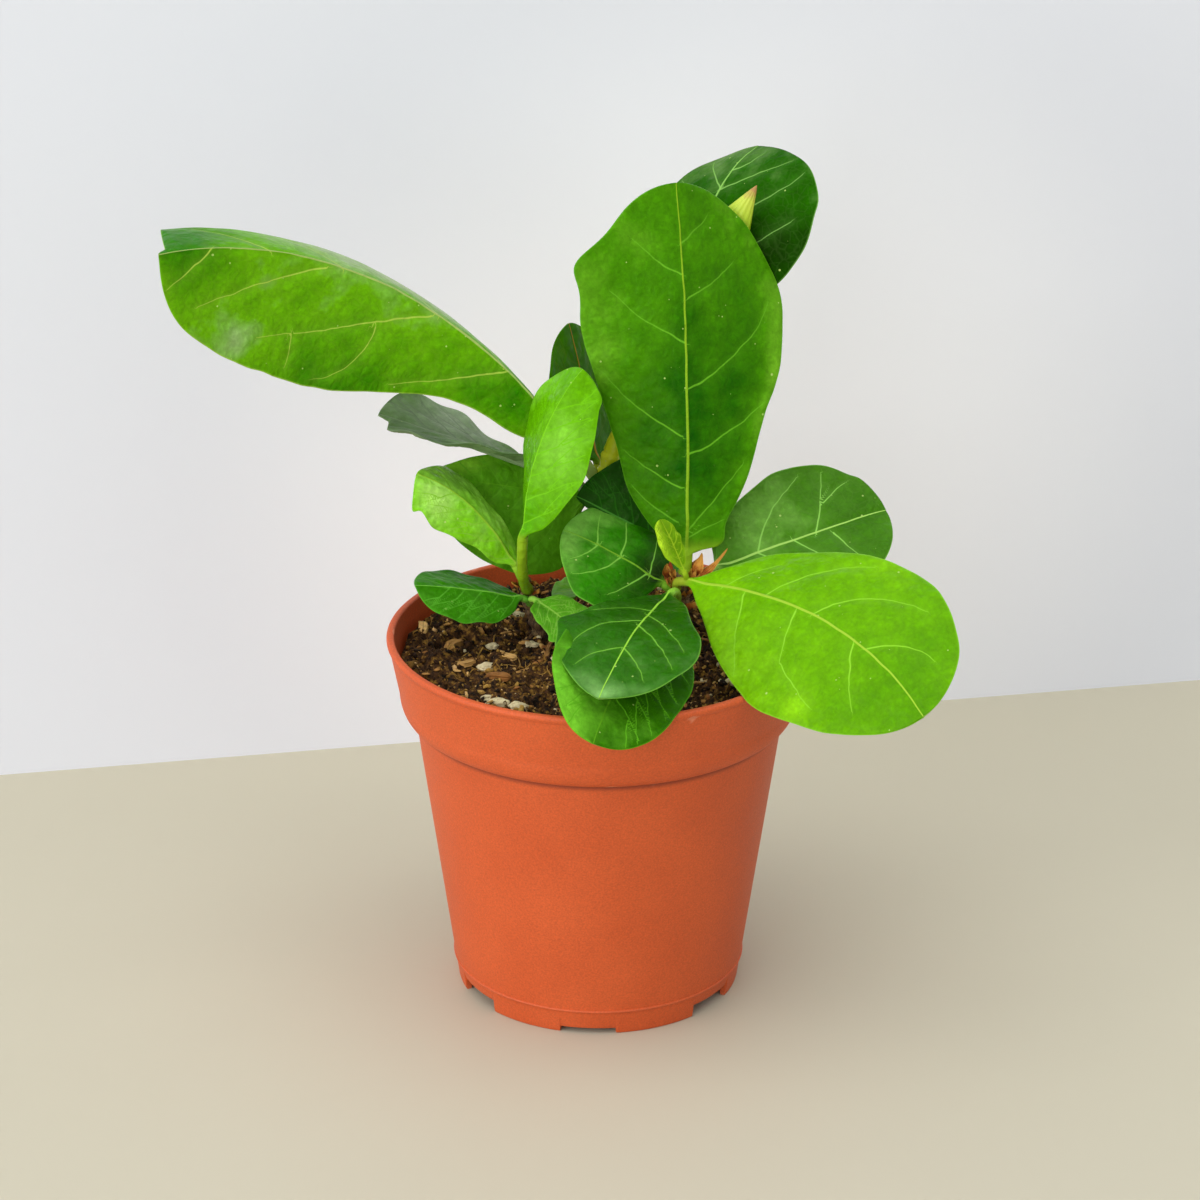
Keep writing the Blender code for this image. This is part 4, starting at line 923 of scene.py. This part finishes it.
def potProfile():
    # the turned outline, from the middle of the underside out, up the outside, over the rim and down
    # the inside to the middle of the floor
    foot, wall = pot["footRadius"], pot["wall"]
    base, floor = pot["baseHeight"], pot["baseHeight"] + pot["baseThickness"]
    line = pot["lineHeight"]
    shoulderR, shoulderZ = pot["collarShoulder"]
    collarFootR, collarFootZ = pot["collarFoot"]
    topR, topZ = pot["collarTop"]
    bodyR, bodyZ = pot["bodyTop"]
    rim, height = pot["rimRadius"], pot["height"]
    parts = [
        [(0.01, base), (12, base), (20, base), (foot - 2.4, base), (foot - 1.7, base - 0.3)],
        [(foot - 1.55, 2.4), (foot - 1.45, 0.5)],
        arc((foot - 1.1, 0.35), (0.35, 0.35), 180, 270, 4),
        arc((foot - 0.4, 0.35), (0.35, 0.35), 270, 360, 4),
        [(bodyRadius(z) - 0.06, z) for z in np.linspace(0.7, line - 0.5, 9)],
        arc((bodyRadius(line), line), (pot["lineProud"], pot["lineHalf"]), -80, 80, 7),
        [(bodyRadius(z), z) for z in np.linspace(line + 0.5, bodyZ - 0.3, 70)],
        [(bodyR, bodyZ), (bodyR + 0.12, bodyZ + 0.08), (collarFootR - 0.35, collarFootZ - 0.02)],
        arc((collarFootR - 0.35, collarFootZ + 0.3), (0.42, 0.32), 275, 330, 4),
        arc((collarFootR - 0.1, shoulderZ), (shoulderR - collarFootR + 0.1, shoulderZ - collarFootZ - 0.35),
            -72, -2, 14),
        np.linspace(pot["collarShoulder"], pot["collarTop"], 14),
        [(topR + 0.25, topZ + 0.12)],
        arc((rim - 0.75, height - 0.85), (0.75, 0.85), -40, 90, 9),
        arc((rim - 1.35, height - 0.6), (0.6, 0.6), 90, 180, 6),
        [(topR - wall - 0.15, topZ), (shoulderR - wall, shoulderZ), (collarFootR - 0.5, collarFootZ + 1.3)],
        [(bodyR - wall, bodyZ + 0.6), (bodyR - wall - 0.3, bodyZ - 1.5)],
        [(bodyRadius(z) - wall, z) for z in np.linspace(bodyZ - 4, floor + 1, 10)],
        [(bodyRadius(floor) - wall - 0.8, floor), (24, floor), (12, floor), (0.01, floor)],
    ]
    return np.concatenate([np.asarray(part, float) for part in parts])


def potPlastic():
    # Injection moulded polypropylene, terracotta coloured, its mould faintly spark textured: a matt
    # grain of about 0.4 mm that breaks up the shine, and tiny light and dark flecks of pigment. Edges
    # are painted paler as a highlight, and painted shade darkens a line 1.5 mm high in the corner
    # under the collar's ledge, where its shadow falls.
    material, shader, add = newMaterial("mouldedPolypropylene")
    place = placeInMm(add)
    clouds = add("TexNoise", {"Vector": place, "Scale": 1 / 22, "Detail": 4})[0]
    fine = add("TexNoise", {"Vector": place, "Scale": 1 / 0.45, "Detail": 3, "Roughness": 0.6})[0]
    # painted highlight: sharp convex edges such as the rim's lip are painted paler
    edgeHighlight = add("NewGeometry", {})["Pointiness"]
    # painted shade: a dark band up to the collar's ledge, where the ledge's shadow falls
    up, ledge = add("SeparateXYZ", {0: place})[2], pot["bodyTop"][1]
    below = add("MapRange", {0: up, 1: ledge + 0.1, 2: ledge + 0.25, 3: 1, 4: 0})[0]
    shadeBand = {0: up, 1: ledge - 1.9, 2: ledge - 0.2, 3: 0, 4: 0.75}
    near = add("MapRange", shadeBand, interpolation_type="SMOOTHSTEP")[0]
    ledgeShade = add("Math", {0: below, 1: near}, operation="MULTIPLY")[0]
    plastic = layered(
        add, "C45120",
        (clouds, 0.35, 0.65, 0, 1, "CB5725"),
        (fine, 0.3, 0.7, 0.84, 1.16, None),
        (edgeHighlight, 0.53, 0.6, 0, 0.45, "E59A78"),
        (ledgeShade, 0, 1, 0, 1, "6A2410"))
    rough = add("MapRange", {0: clouds, 1: 0.3, 2: 0.7, 3: 0.5, 4: 0.6})[0]
    bump = add("Bump", {"Height": fine, "Strength": 0.35, "Distance": 0.2 * mm})[0]
    setInputs(shader, {"Base Color": plastic, "Roughness": rough, "Normal": bump,
                       "Specular IOR Level": 0.42, "IOR": 1.49})
    return material


def cutDrains(piece):
    # a ring of round holes through the raised base
    cutters = bmesh.new()
    holeRadius = pot["drainRadius"] * mm
    for i in range(pot["drainHoles"]):
        turn = 2 * math.pi * (i + 0.5) / pot["drainHoles"]
        place = np.array([math.sin(turn), math.cos(turn), 0]) * pot["drainCircle"]
        place[2] = pot["baseHeight"] + pot["baseThickness"] / 2
        hole = bmesh.ops.create_cone(cutters, cap_ends=True, segments=36, radius1=holeRadius,
                                     radius2=holeRadius, depth=4 * mm)["verts"]
        bmesh.ops.translate(cutters, vec=toWorld(place), verts=hole)
    cutterMesh = bpy.data.meshes.new("drainCutters")
    cutters.to_mesh(cutterMesh)
    cutters.free()
    cutter = link("drainCutters", cutterMesh)
    boolean = piece.modifiers.new("drains", "BOOLEAN")
    boolean.operation = "DIFFERENCE"
    boolean.object = cutter
    bpy.context.view_layer.objects.active = piece
    bpy.ops.object.modifier_apply(modifier="drains")
    bpy.data.objects.remove(cutter, do_unlink=True)


def buildPot():
    # The profile is turned about the axis. In a notch the foot's lowest rows are raised, and the rows
    # above them close up; each notch has a pair of turns at each side, so that its sides stand upright.
    profile = potProfile()
    turns = list(np.arange(0, 360, pot["turnStep"]))
    halfNotch = math.degrees(pot["notchWidth"] / 2 / pot["footRadius"])
    for middle, _ in pot["notches"]:
        turns += [middle + sign * halfNotch + shift for sign in (-1, 1) for shift in (-0.12, 0.12)]
    turns = np.unique(np.round(np.array(turns) % 360, 4))
    angle = np.radians(turns)
    radius = np.repeat(profile[:, :1], len(turns), axis=1)
    height = np.repeat(profile[:, 1:], len(turns), axis=1)
    notchTop = pot["notchTop"]
    atFoot = (radius > pot["footRadius"] - 1.75) & (height < notchTop)
    for middle, depth in pot["notches"]:
        off = np.abs((turns - middle + 180) % 360 - 180)
        raised = depth + height * (notchTop - depth) / notchTop
        height = np.where(atFoot & (off < halfNotch)[None], raised, height)
    rings = np.stack([radius * np.sin(angle)[None], -radius * np.cos(angle)[None], height], axis=-1)
    points, faceSets = skinRings(rings)
    piece = addPiece("pot_shell", points, faceSets, potPlastic(), "pot_plastic", ["pot"],
                     sharp=pot["sharpAngle"])
    cutDrains(piece)
    piece.data.set_sharp_from_angle(angle=math.radians(pot["sharpAngle"]))


soil = dict(
    edge=84.3, dome=1.2, radius=49.0, floor=5.2, squares=230, backLeftRise=3.0,
    clods=((0.9, 9), (1.5, 4), (1.3, 1.8), (0.6, 0.9)),         # height and size, from large to fine
    crumbs=4700, crumbSizes=(0.5, 2.0), fibres=150, fibreLengths=(2, 7), fibreRadii=(0.09, 0.24),
    smallChips=130, smallChipSizes=((1.6, 0.8, 0.5), (4.2, 1.7, 1.0)), smallGrains=60,
    smallGrainSizes=(0.6, 1.7))
barkChips = {        # place, length, width and height, turn, and tone from dark to pale
    "bark_1": ((-44, 13.4), (6.0, 2.6, 1.8), 80, 1),
    "bark_2": ((-36.6, 5.1), (7.0, 3.0, 2.2), 62, 0.45),
    "bark_3": ((-33, -6), (5.5, 1.8, 1.2), 25, 0.7),
    "bark_4": ((-24.4, -14.5), (6.0, 2.2, 1.5), -5, 0.1),
    "bark_5": ((-22.6, -2.6), (4.5, 2.2, 1.4), 150, 0.8),
    "bark_6": ((30, 22), (6.0, 2.6, 1.6), 40, 0.5),
    "twig": ((-12.5, 2.2), (11.0, 1.2, 1.0), 80, 0.3),
}
perlite = {          # place and size
    "perlite_1": ((-26.4, 5.8), 2.6),
    "perlite_2": ((-17.2, 7.1), 3.0),
    "perlite_3": ((-28.3, -7.4), 3.4),
    "perlite_4": ((-24.2, -25.2), 4.2),
    "perlite_5": ((-19.3, -29.3), 3.6),
    "perlite_6": ((-27, -19.9), 2.6),
    "perlite_7": ((-20.6, 24.3), 2.8),
    "perlite_8": ((26.6, -12.8), 2.6),
    "perlite_9": ((32.2, -15.8), 2.6),
    "perlite_10": ((20, 34), 3.0),
}


def soilHeight(x, y):
    # a low dome with clods of 9, 4, 1.8 and 0.9 mm, which settles towards the pot's wall and rises at the
    # back left
    flat = np.stack([x, y], axis=-1)
    fromAxis = np.hypot(x, y)
    dome = soil["edge"] + soil["dome"] * (1 - (fromAxis / soil["radius"]) ** 2)
    clods = sum(height * noise(flat, size, 41 + k) for k, (height, size) in enumerate(soil["clods"]))
    settled = -0.5 * smoothStep(soil["radius"] - 3, soil["radius"], fromAxis)
    raised = soil["backLeftRise"] * smoothStep(0, 48, 0.7 * (y - x))
    calmer = 1 - 0.6 * smoothStep(soil["radius"] - 2, soil["radius"], fromAxis)
    return dome + raised + clods * calmer + settled


def peatSurface():
    # Moist sphagnum peat: near black brown crumbs with rusty fibres and specks of dry tan, quite matt.
    material, shader, add = newMaterial("moistPeat")
    place = placeInMm(add)
    lumps = add("TexNoise", {"Vector": place, "Scale": 1 / 2.2, "Detail": 6, "Roughness": 0.7})[0]
    peat = add("ValToRGB", {0: lumps}, stops=((0.38, "100902"), (0.52, "4E3216"), (0.68, "A87E30")))[0]
    peat = layered(add, peat, (speckles(add, place, 1.1, 0.42, 0.22), 0, 1, 0, 1, "C49A5E"))
    grain = add("TexNoise", {"Vector": place, "Scale": 1 / 0.5, "Detail": 4})[0]
    bump = add("Bump", {"Height": grain, "Strength": 0.9, "Distance": 0.5 * mm})[0]
    setInputs(shader, {"Base Color": peat, "Roughness": 0.92, "Normal": bump, "Specular IOR Level": 0.25})
    return material


def crumbMaterial():
    # Loose crumbs of peat, fine bark and grit: each takes its own tone, mostly near black, some rusty,
    # a few the tan of dry fibre.
    material, shader, add = newMaterial("looseCrumbs")
    tone = add("Attribute", {}, attribute_name="tone")["Fac"]
    grain = add("TexNoise", {"Vector": placeInMm(add), "Scale": 1 / 0.4, "Detail": 3})[0]
    tones = ((0, "180E04"), (0.46, "341E0C"), (0.68, "6E4C18"), (0.88, "B48C40"), (1, "E0B474"))
    crumb = add("ValToRGB", {0: tone}, stops=tones)[0]
    crumb = layered(add, crumb, (grain, 0.3, 0.7, 0.65, 1.3, None))
    bump = add("Bump", {"Height": grain, "Strength": 0.8, "Distance": 0.3 * mm})[0]
    setInputs(shader, {"Base Color": crumb, "Roughness": 0.88, "Normal": bump, "Specular IOR Level": 0.25})
    return material


def perliteGrain():
    # Expanded volcanic glass: cream white, chalky and pitted, dirty where peat clings to it.
    material, shader, add = newMaterial("expandedPerlite")
    place = placeInMm(add)
    dirt = add("TexNoise", {"Vector": place, "Scale": 1 / 1.4, "Detail": 5, "Roughness": 0.65})[0]
    glass = layered(add, "D9CA9E", (dirt, 0.5, 0.72, 0, 0.8, "8E7048"))
    pits = add("TexVoronoi", {"Vector": place, "Scale": 1 / 0.45})["Distance"]
    bump = add("Bump", {"Height": pits, "Strength": 0.7, "Distance": 0.2 * mm})[0]
    setInputs(shader, {"Base Color": glass, "Roughness": 0.9, "Normal": bump, "Specular IOR Level": 0.3})
    return material


def barkChip():
    # Composted bark and wood chips: layered, split along the grain, brown to tan with dark seams.
    material, shader, add = newMaterial("compostedBark")
    tone, grainRun = (add("Attribute", {}, attribute_name=key)["Fac"] for key in ("tone", "grainRun"))
    patches = add("TexNoise", {"Vector": placeInMm(add), "Scale": 1 / 1.6, "Detail": 5, "Roughness": 0.6})[0]
    seams = add("Math", {0: grainRun, 1: 9, 2: patches}, operation="MULTIPLY_ADD")[0]
    seams = add("Math", {0: seams}, operation="SINE")[0]
    chip = add("ValToRGB", {0: tone}, stops=((0, "8E5826"), (0.5, "BC8A46"), (1, "E4B870")))[0]
    chip = layered(add, chip, (patches, 0.5, 0.74, 0, 0.6, "2C1A0C"))
    bump = add("Bump", {"Height": seams, "Strength": 0.6, "Distance": 0.2 * mm})[0]
    setInputs(shader, {"Base Color": chip, "Roughness": 0.85, "Normal": bump, "Specular IOR Level": 0.3})
    return material


def ballShape(detail):
    # points and triangles of a unit ball made of near equal triangles
    ball = bmesh.new()
    bmesh.ops.create_icosphere(ball, subdivisions=detail, radius=1)
    points = np.array([corner.co[:] for corner in ball.verts])
    faces = np.array([[corner.index for corner in face.verts] for face in ball.faces])
    ball.free()
    return points, faces


def turned(points, first, second, angle):
    # points turned from one axis towards another
    points = points.copy()
    a, b = points[..., first].copy(), points[..., second].copy()
    points[..., first] = a * np.cos(angle) - b * np.sin(angle)
    points[..., second] = a * np.sin(angle) + b * np.cos(angle)
    return points


def scatterLumps(detail, places, sizes, turns, roughness, random):
    # the same ball at every place, stretched, tilted and spun, each corner pushed in or out
    ball, faces = ballShape(detail)
    count = len(places)
    push = 1 + roughness * random.uniform(-1, 1, (count, len(ball), 1))
    lumps = turned(ball[None] * push * sizes[:, None] / 2, 2, 0, turns[:, 1:])
    points = (turned(lumps, 0, 1, turns[:, :1]) + places[:, None]).reshape(-1, 3)
    allFaces = (faces[None] + (np.arange(count) * len(ball))[:, None, None]).reshape(-1, 3)
    return points, [allFaces], len(ball)


def ringPlaces(count, random, outer):
    # places spread evenly over the soil's disc, resting on its surface
    radius = outer * np.sqrt(random.uniform(0, 1, count))
    turn = random.uniform(0, 2 * np.pi, count)
    x, y = radius * np.cos(turn), radius * np.sin(turn)
    return np.stack([x, y, soilHeight(x, y)], axis=-1)


def buildSoil():
    # a square grid drawn out to a disc (x times the root of 1 - y squared / 2, and the same for y),
    # and a plain skin down the pot's wall to its floor
    n = soil["squares"]
    u, v = np.meshgrid(np.linspace(-1, 1, n + 1), np.linspace(-1, 1, n + 1), indexing="ij")
    x = soil["radius"] * u * np.sqrt(1 - v * v / 2)
    y = soil["radius"] * v * np.sqrt(1 - u * u / 2)
    top = np.stack([x, y, soilHeight(x, y)], axis=-1).reshape(-1, 3)
    index = np.arange((n + 1) ** 2).reshape(n + 1, n + 1)
    quads = np.stack([index[:-1, :-1], index[1:, :-1], index[1:, 1:], index[:-1, 1:]], axis=-1).reshape(-1, 4)
    rim = np.concatenate([index[:-1, 0], index[-1, :-1], index[:0:-1, -1], index[0, :0:-1]])
    inset = pot["wall"] + 0.3
    bottom = soil["floor"] + 0.2
    levels = ((soil["radius"] - 1.6, 76), (pot["bodyTop"][0] - inset - 0.6, 71),
              (bodyRadius(soil["floor"]) - inset, bottom))
    flat = unit(top[rim, :2])
    count = len(rim)
    rings = [np.concatenate([flat * radius, np.full((count, 1), height)], axis=1)
             for radius, height in levels]
    rows = [rim] + [len(top) + k * count + np.arange(count) for k in range(3)]
    skirt = [np.stack([a, np.roll(a, -1), np.roll(b, -1), b], axis=-1) for a, b in zip(rows, rows[1:])]
    pole = len(top) + 3 * count
    cap = np.stack([rows[3], np.roll(rows[3], -1), np.full(count, pole)], axis=-1)
    points = np.concatenate([top, *rings, [[0, 0, bottom]]])
    faceSets = [quads[:, ::-1], *skirt, cap]
    addPiece("soil_surface", points, faceSets, peatSurface(), "peat", ["soil"], sharp=180)


def buildCrumbs():
    # stretched balls whose size follows a steep power curve, so that most are fine
    random = np.random.default_rng(7)
    count = soil["crumbs"]
    places = ringPlaces(count, random, soil["radius"] - 1)
    finest, largest = soil["crumbSizes"]
    size = finest + (largest - finest) * random.power(0.4, count)[:, None] ** 2
    places[:, 2] += random.uniform(-0.4, 0.5, count)
    sizes = size * random.uniform([0.8, 0.6, 0.5], [1.8, 1.0, 0.9], (count, 3))
    turns = random.uniform(0, 2 * np.pi, (count, 2)) * [1, 0.12]
    points, faceSets, each = scatterLumps(1, places, sizes, turns, 0.38, random)
    tone = np.repeat(random.uniform(0, 1, count), each)
    addPiece("peat_crumbs", points, faceSets, crumbMaterial(), "peat", [], {"tone": tone}, sharp=180)


def buildFibres():
    # short roots and coir: arcs that rise a little from the soil and dip back into it
    random = np.random.default_rng(11)
    count, steps, around = soil["fibres"], 9, 5
    places = ringPlaces(count, random, soil["radius"] - 3)
    heading = random.uniform(0, 2 * np.pi, count)
    length = random.uniform(*soil["fibreLengths"], count)
    bend = random.uniform(-1.6, 1.6, count)
    u = np.linspace(-0.5, 0.5, steps)
    turn = heading[:, None] + bend[:, None] * u[None]
    x = places[:, :1] + length[:, None] * u[None] * np.cos(turn)
    y = places[:, 1:2] + length[:, None] * u[None] * np.sin(turn)
    inside = soil["radius"] - 1.2
    shrink = np.minimum(1, inside / np.maximum(np.hypot(x, y), 1e-6))
    x, y = x * shrink, y * shrink
    z = soilHeight(x, y) + 0.5 + random.uniform(0, 1.4, (count, 1)) * np.cos(np.pi * u)[None]
    path = np.stack([x, y, z], axis=-1)
    along = unit(np.gradient(path, axis=1))
    side = unit(np.cross(along, [0, 0, 1]))
    up = np.cross(side, along)
    thick = random.uniform(*soil["fibreRadii"], (count, 1)) * (1 - 0.6 * np.abs(2 * u[None]) ** 2)
    angle = np.linspace(0, 2 * np.pi, around, endpoint=False)[:, None]
    ring = side[:, :, None] * np.cos(angle) + up[:, :, None] * np.sin(angle)
    skins = [skinRings(rings) for rings in path[:, :, None] + ring * thick[:, :, None, None]]
    tone = np.repeat(random.uniform(0.35, 0.95, count), len(skins[0][0]))
    addPiece("soil_fibres", *merged(skins), crumbMaterial(), "peat", [], {"tone": tone})


def chipRings(size, seed):
    # a splinter: a rounded box section that tapers to broken ends, ridged along its grain
    share = np.linspace(-1, 1, 26)
    turn = np.linspace(0, 2 * np.pi, 32, endpoint=False)
    grid = np.stack(np.meshgrid(share * size[0] / 2, np.cos(turn) * 3, indexing="ij"), axis=-1)
    around = np.broadcast_arrays(share[:, None] * 1.2, np.cos(turn)[None] * 3, np.sin(turn)[None] * 3)
    ridges = 1 + 0.16 * noise(np.stack(around, axis=-1), 0.8, seed)
    taper = np.clip(1 - np.abs(share) ** 5, 0.05, 1) ** 0.5
    square = 1 / np.maximum(np.abs(np.cos(turn)), np.abs(np.sin(turn))) ** 0.7
    lean = 0.12 * size[0] * noise(np.stack([share, share * 0], axis=-1), 0.9, seed + 1)
    x = share[:, None] * size[0] / 2 + 0.08 * size[0] * noise(grid, 1.3, seed + 2)
    y = np.cos(turn)[None] * square * taper[:, None] * size[1] / 2 * ridges + lean[:, None]
    z = np.sin(turn)[None] * square * taper[:, None] * size[2] / 2 * ridges
    return np.stack([x, y, z], axis=-1), np.repeat(np.cos(turn)[None], len(share), axis=0)


def groundAt(x, y):
    # the soil's height under one place
    return float(soilHeight(np.array([x]), np.array([y]))[0])


def buildChips():
    # splinters at their places, and among them small balls stretched into chips
    material = barkChip()
    random = np.random.default_rng(3)
    for order, (name, ((x, y), size, turn, shade)) in enumerate(barkChips.items()):
        rings, grainRun = chipRings(size, 60 + 5 * order)
        spun = turned(rings, 0, 1, math.radians(turn))
        points, faceSets = skinRings(spun + np.array([x, y, groundAt(x, y) + size[2] * 0.35]))
        addPiece(name + "_piece", points, faceSets, material, "bark_chip", [name],
                 {"tone": np.full(len(points), shade), "grainRun": withPoles(grainRun)})
    count = soil["smallChips"]
    places = ringPlaces(count, random, soil["radius"] - 3)
    places[:, 2] += 0.2
    sizes = random.uniform(*soil["smallChipSizes"], (count, 3))
    turns = np.stack([random.uniform(0, 2 * np.pi, count), random.uniform(-0.4, 0.4, count)], axis=-1)
    points, faceSets, each = scatterLumps(2, places, sizes, turns, 0.2, random)
    values = {"tone": np.repeat(random.uniform(0, 1, count), each), "grainRun": points[:, 2] * 0.7}
    addPiece("small_chips", points, faceSets, material, "bark_chip", [], values, sharp=180)


def buildPerlite():
    # each grain is a ball pushed in and out by noise at two scales, so that it looks popped
    material = perliteGrain()
    ball, faces = ballShape(4)
    for order, (name, ((x, y), size)) in enumerate(perlite.items()):
        push = 1 + 0.5 * noise(ball + order * 7, 0.9, 71) + 0.22 * noise(ball + order * 7, 0.35, 72)
        stretch = np.array([size * 1.15, size * 0.8, size * 0.6]) / 2
        points = ball * push[:, None] * stretch + np.array([x, y, groundAt(x, y) + size * 0.2])
        addPiece(name + "_grain", points, [faces], material, "perlite_white", [name], sharp=180)
    random = np.random.default_rng(5)
    count = soil["smallGrains"]
    places = ringPlaces(count, random, soil["radius"] - 2)
    sizes = random.uniform(*soil["smallGrainSizes"], (count, 1))
    sizes = sizes * random.uniform([0.8, 0.6, 0.4], [1.3, 1, 0.8], (count, 3))
    turns = random.uniform(0, 2 * np.pi, (count, 2)) * [1, 0.15]
    points, faceSets, _ = scatterLumps(2, places, sizes, turns, 0.2, random)
    addPiece("small_perlite", points, faceSets, material, "perlite_white", [], sharp=180)


stage = dict(wallFoot=((-168.8, 113.4), (178.9, 182.7)), reach=4000.0, wallHeight=3000.0)
lamps = {       # place and target, width and height in metres, power in watts
    "keySoftbox": ((-1900, -1900, 900), (0, 0, 90), 4.2, 2.0, 67),
    "topSoftbox": ((0, 200, 2400), (0, 0, 0), 3.0, 3.0, 57),
}
world = dict(colour="F2F4FA", strength=0.68)
view = dict(lens=120, sensor=36, tilt=22.695, roll=0.20, distance=983.6, target=(0.14, 0, 101.54))


def tablePaint():
    # Satin beige paint on a board: nearly even, with a very fine roller grain.
    material, shader, add = newMaterial("beigeBoardPaint")
    place = placeInMm(add)
    clouds, grain = (add("TexNoise", {"Vector": place, "Scale": 1 / size, "Detail": 2})[0]
                     for size in (120, 0.8))
    paint = layered(add, "C1BBA5", (clouds, 0, 1, 0, 1, "C6C0AA"))
    bump = add("Bump", {"Height": grain, "Strength": 0.1, "Distance": 0.1 * mm})[0]
    setInputs(shader, {"Base Color": paint, "Roughness": 0.6, "Normal": bump, "Specular IOR Level": 0.3})
    return material


def wallPaint():
    # Matt pale grey wall paint, with painted light behind the plant where its shadow falls: the paler paint
    # fades out between 50 and 160 mm from a point of the wall. Seen from behind, the wall lets the view
    # through.
    material, shader, add = newMaterial("paleWallPaint")
    place = add("TexCoord", {})["Object"]
    # painted light: the paler patch round a point behind the plant, which lifts the plant's shadow on the
    # wall
    off = add("VectorMath", {0: place, 1: toWorld((35, 152, 80))}, operation="DISTANCE")["Value"]
    share = add("MapRange", {0: off, 1: 0.05, 2: 0.16, 3: 1, 4: 0}, interpolation_type="SMOOTHSTEP")[0]
    paint = add("Mix", {0: share, 6: "E1E4EA", 7: "FAFCFF"}, data_type="RGBA")[2]
    setInputs(shader, {"Base Color": paint, "Roughness": 0.9, "Specular IOR Level": 0.1})
    behind = add("NewGeometry", {})["Backfacing"]
    clear = add("BsdfTransparent", {})[0]
    either = add("MixShader", {0: behind, 1: shader.outputs[0], 2: clear})[0]
    setInputs(material.node_tree.nodes["Material Output"], {0: either})
    return material


def addStage(name, points, material):
    # one flat face of the backdrop
    link(name, newMesh(name, points, [list(range(len(points)))], material))


def buildStage():
    # a table with its top at the pot's foot, and a wall up from the line through the foot's two ends
    reach, top = stage["reach"], stage["wallHeight"]
    corners = [(-reach, -reach, 0), (reach, -reach, 0), (reach, reach, 0), (-reach, reach, 0)]
    addStage("table", corners, tablePaint())
    left, right = (np.array(p) for p in stage["wallFoot"])
    middle, run = (left + right) / 2, unit(right - left)
    a, b = middle - run * reach, middle + run * reach
    addStage("wall", [(*a, 0), (*b, 0), (*b, top), (*a, top)], wallPaint())


def addLamp(name, place, target, width, height, power):
    # a soft box that faces a point
    lamp = bpy.data.lights.new(name, "AREA")
    lamp.shape = "RECTANGLE"
    lamp.size = width
    lamp.size_y = height
    lamp.energy = power
    holder = link(name, lamp)
    place, target = toWorld(place), toWorld(target)
    away = unit(place - target)
    side = unit(np.cross([0, 0.001, 1], away))
    up = np.cross(away, side)
    holder.matrix_world = Matrix([(side[i], up[i], away[i], place[i]) for i in range(3)] + [(0, 0, 0, 1)])


def buildLight():
    # an even pale world, and the soft boxes
    studio = bpy.data.worlds.new("studio")
    bpy.context.scene.world = studio
    studio.use_nodes = True
    setInputs(studio.node_tree.nodes["Background"], {"Color": world["colour"], "Strength": world["strength"]})
    for name, lamp in lamps.items():
        addLamp(name, *lamp)


def buildCamera():
    # it looks down by its tilt at the target, from its distance
    camera = bpy.data.cameras.new("camera")
    camera.lens = view["lens"]
    camera.sensor_width = view["sensor"]
    holder = link("camera", camera)
    tilt = math.radians(view["tilt"])
    forward = np.array([0, math.cos(tilt), -math.sin(tilt)])
    place = toWorld(np.array(view["target"]) - forward * view["distance"])
    turn = Matrix.Rotation(math.pi / 2 - tilt, 4, "X") @ Matrix.Rotation(math.radians(view["roll"]), 4, "Z")
    holder.matrix_world = Matrix.Translation(place) @ turn
    bpy.context.scene.camera = holder


bpy.context.scene.view_settings.view_transform = "Standard"
buildCamera()
buildStage()
buildLight()
print("stage, light and camera are up")
buildPot()
print("pot is turned")
buildSoil()
buildCrumbs()
buildFibres()
buildChips()
buildPerlite()
print("soil is filled and strewn")
stemMaterials = {"woody_bark": woodyBark(), "green_stem": greenStemSkin()}
for stemName, stemShape in stems.items():
    buildStem(stemName, stemShape, stemMaterials[stemShape["finish"]])
print("stems stand")
for leafName, leafShape in leaves.items():
    buildLeaf(leafName, {**leafDefaults, **leafShape})
print("leaves are grown")
buildBudsAndScales()
print("buds and scales are set")
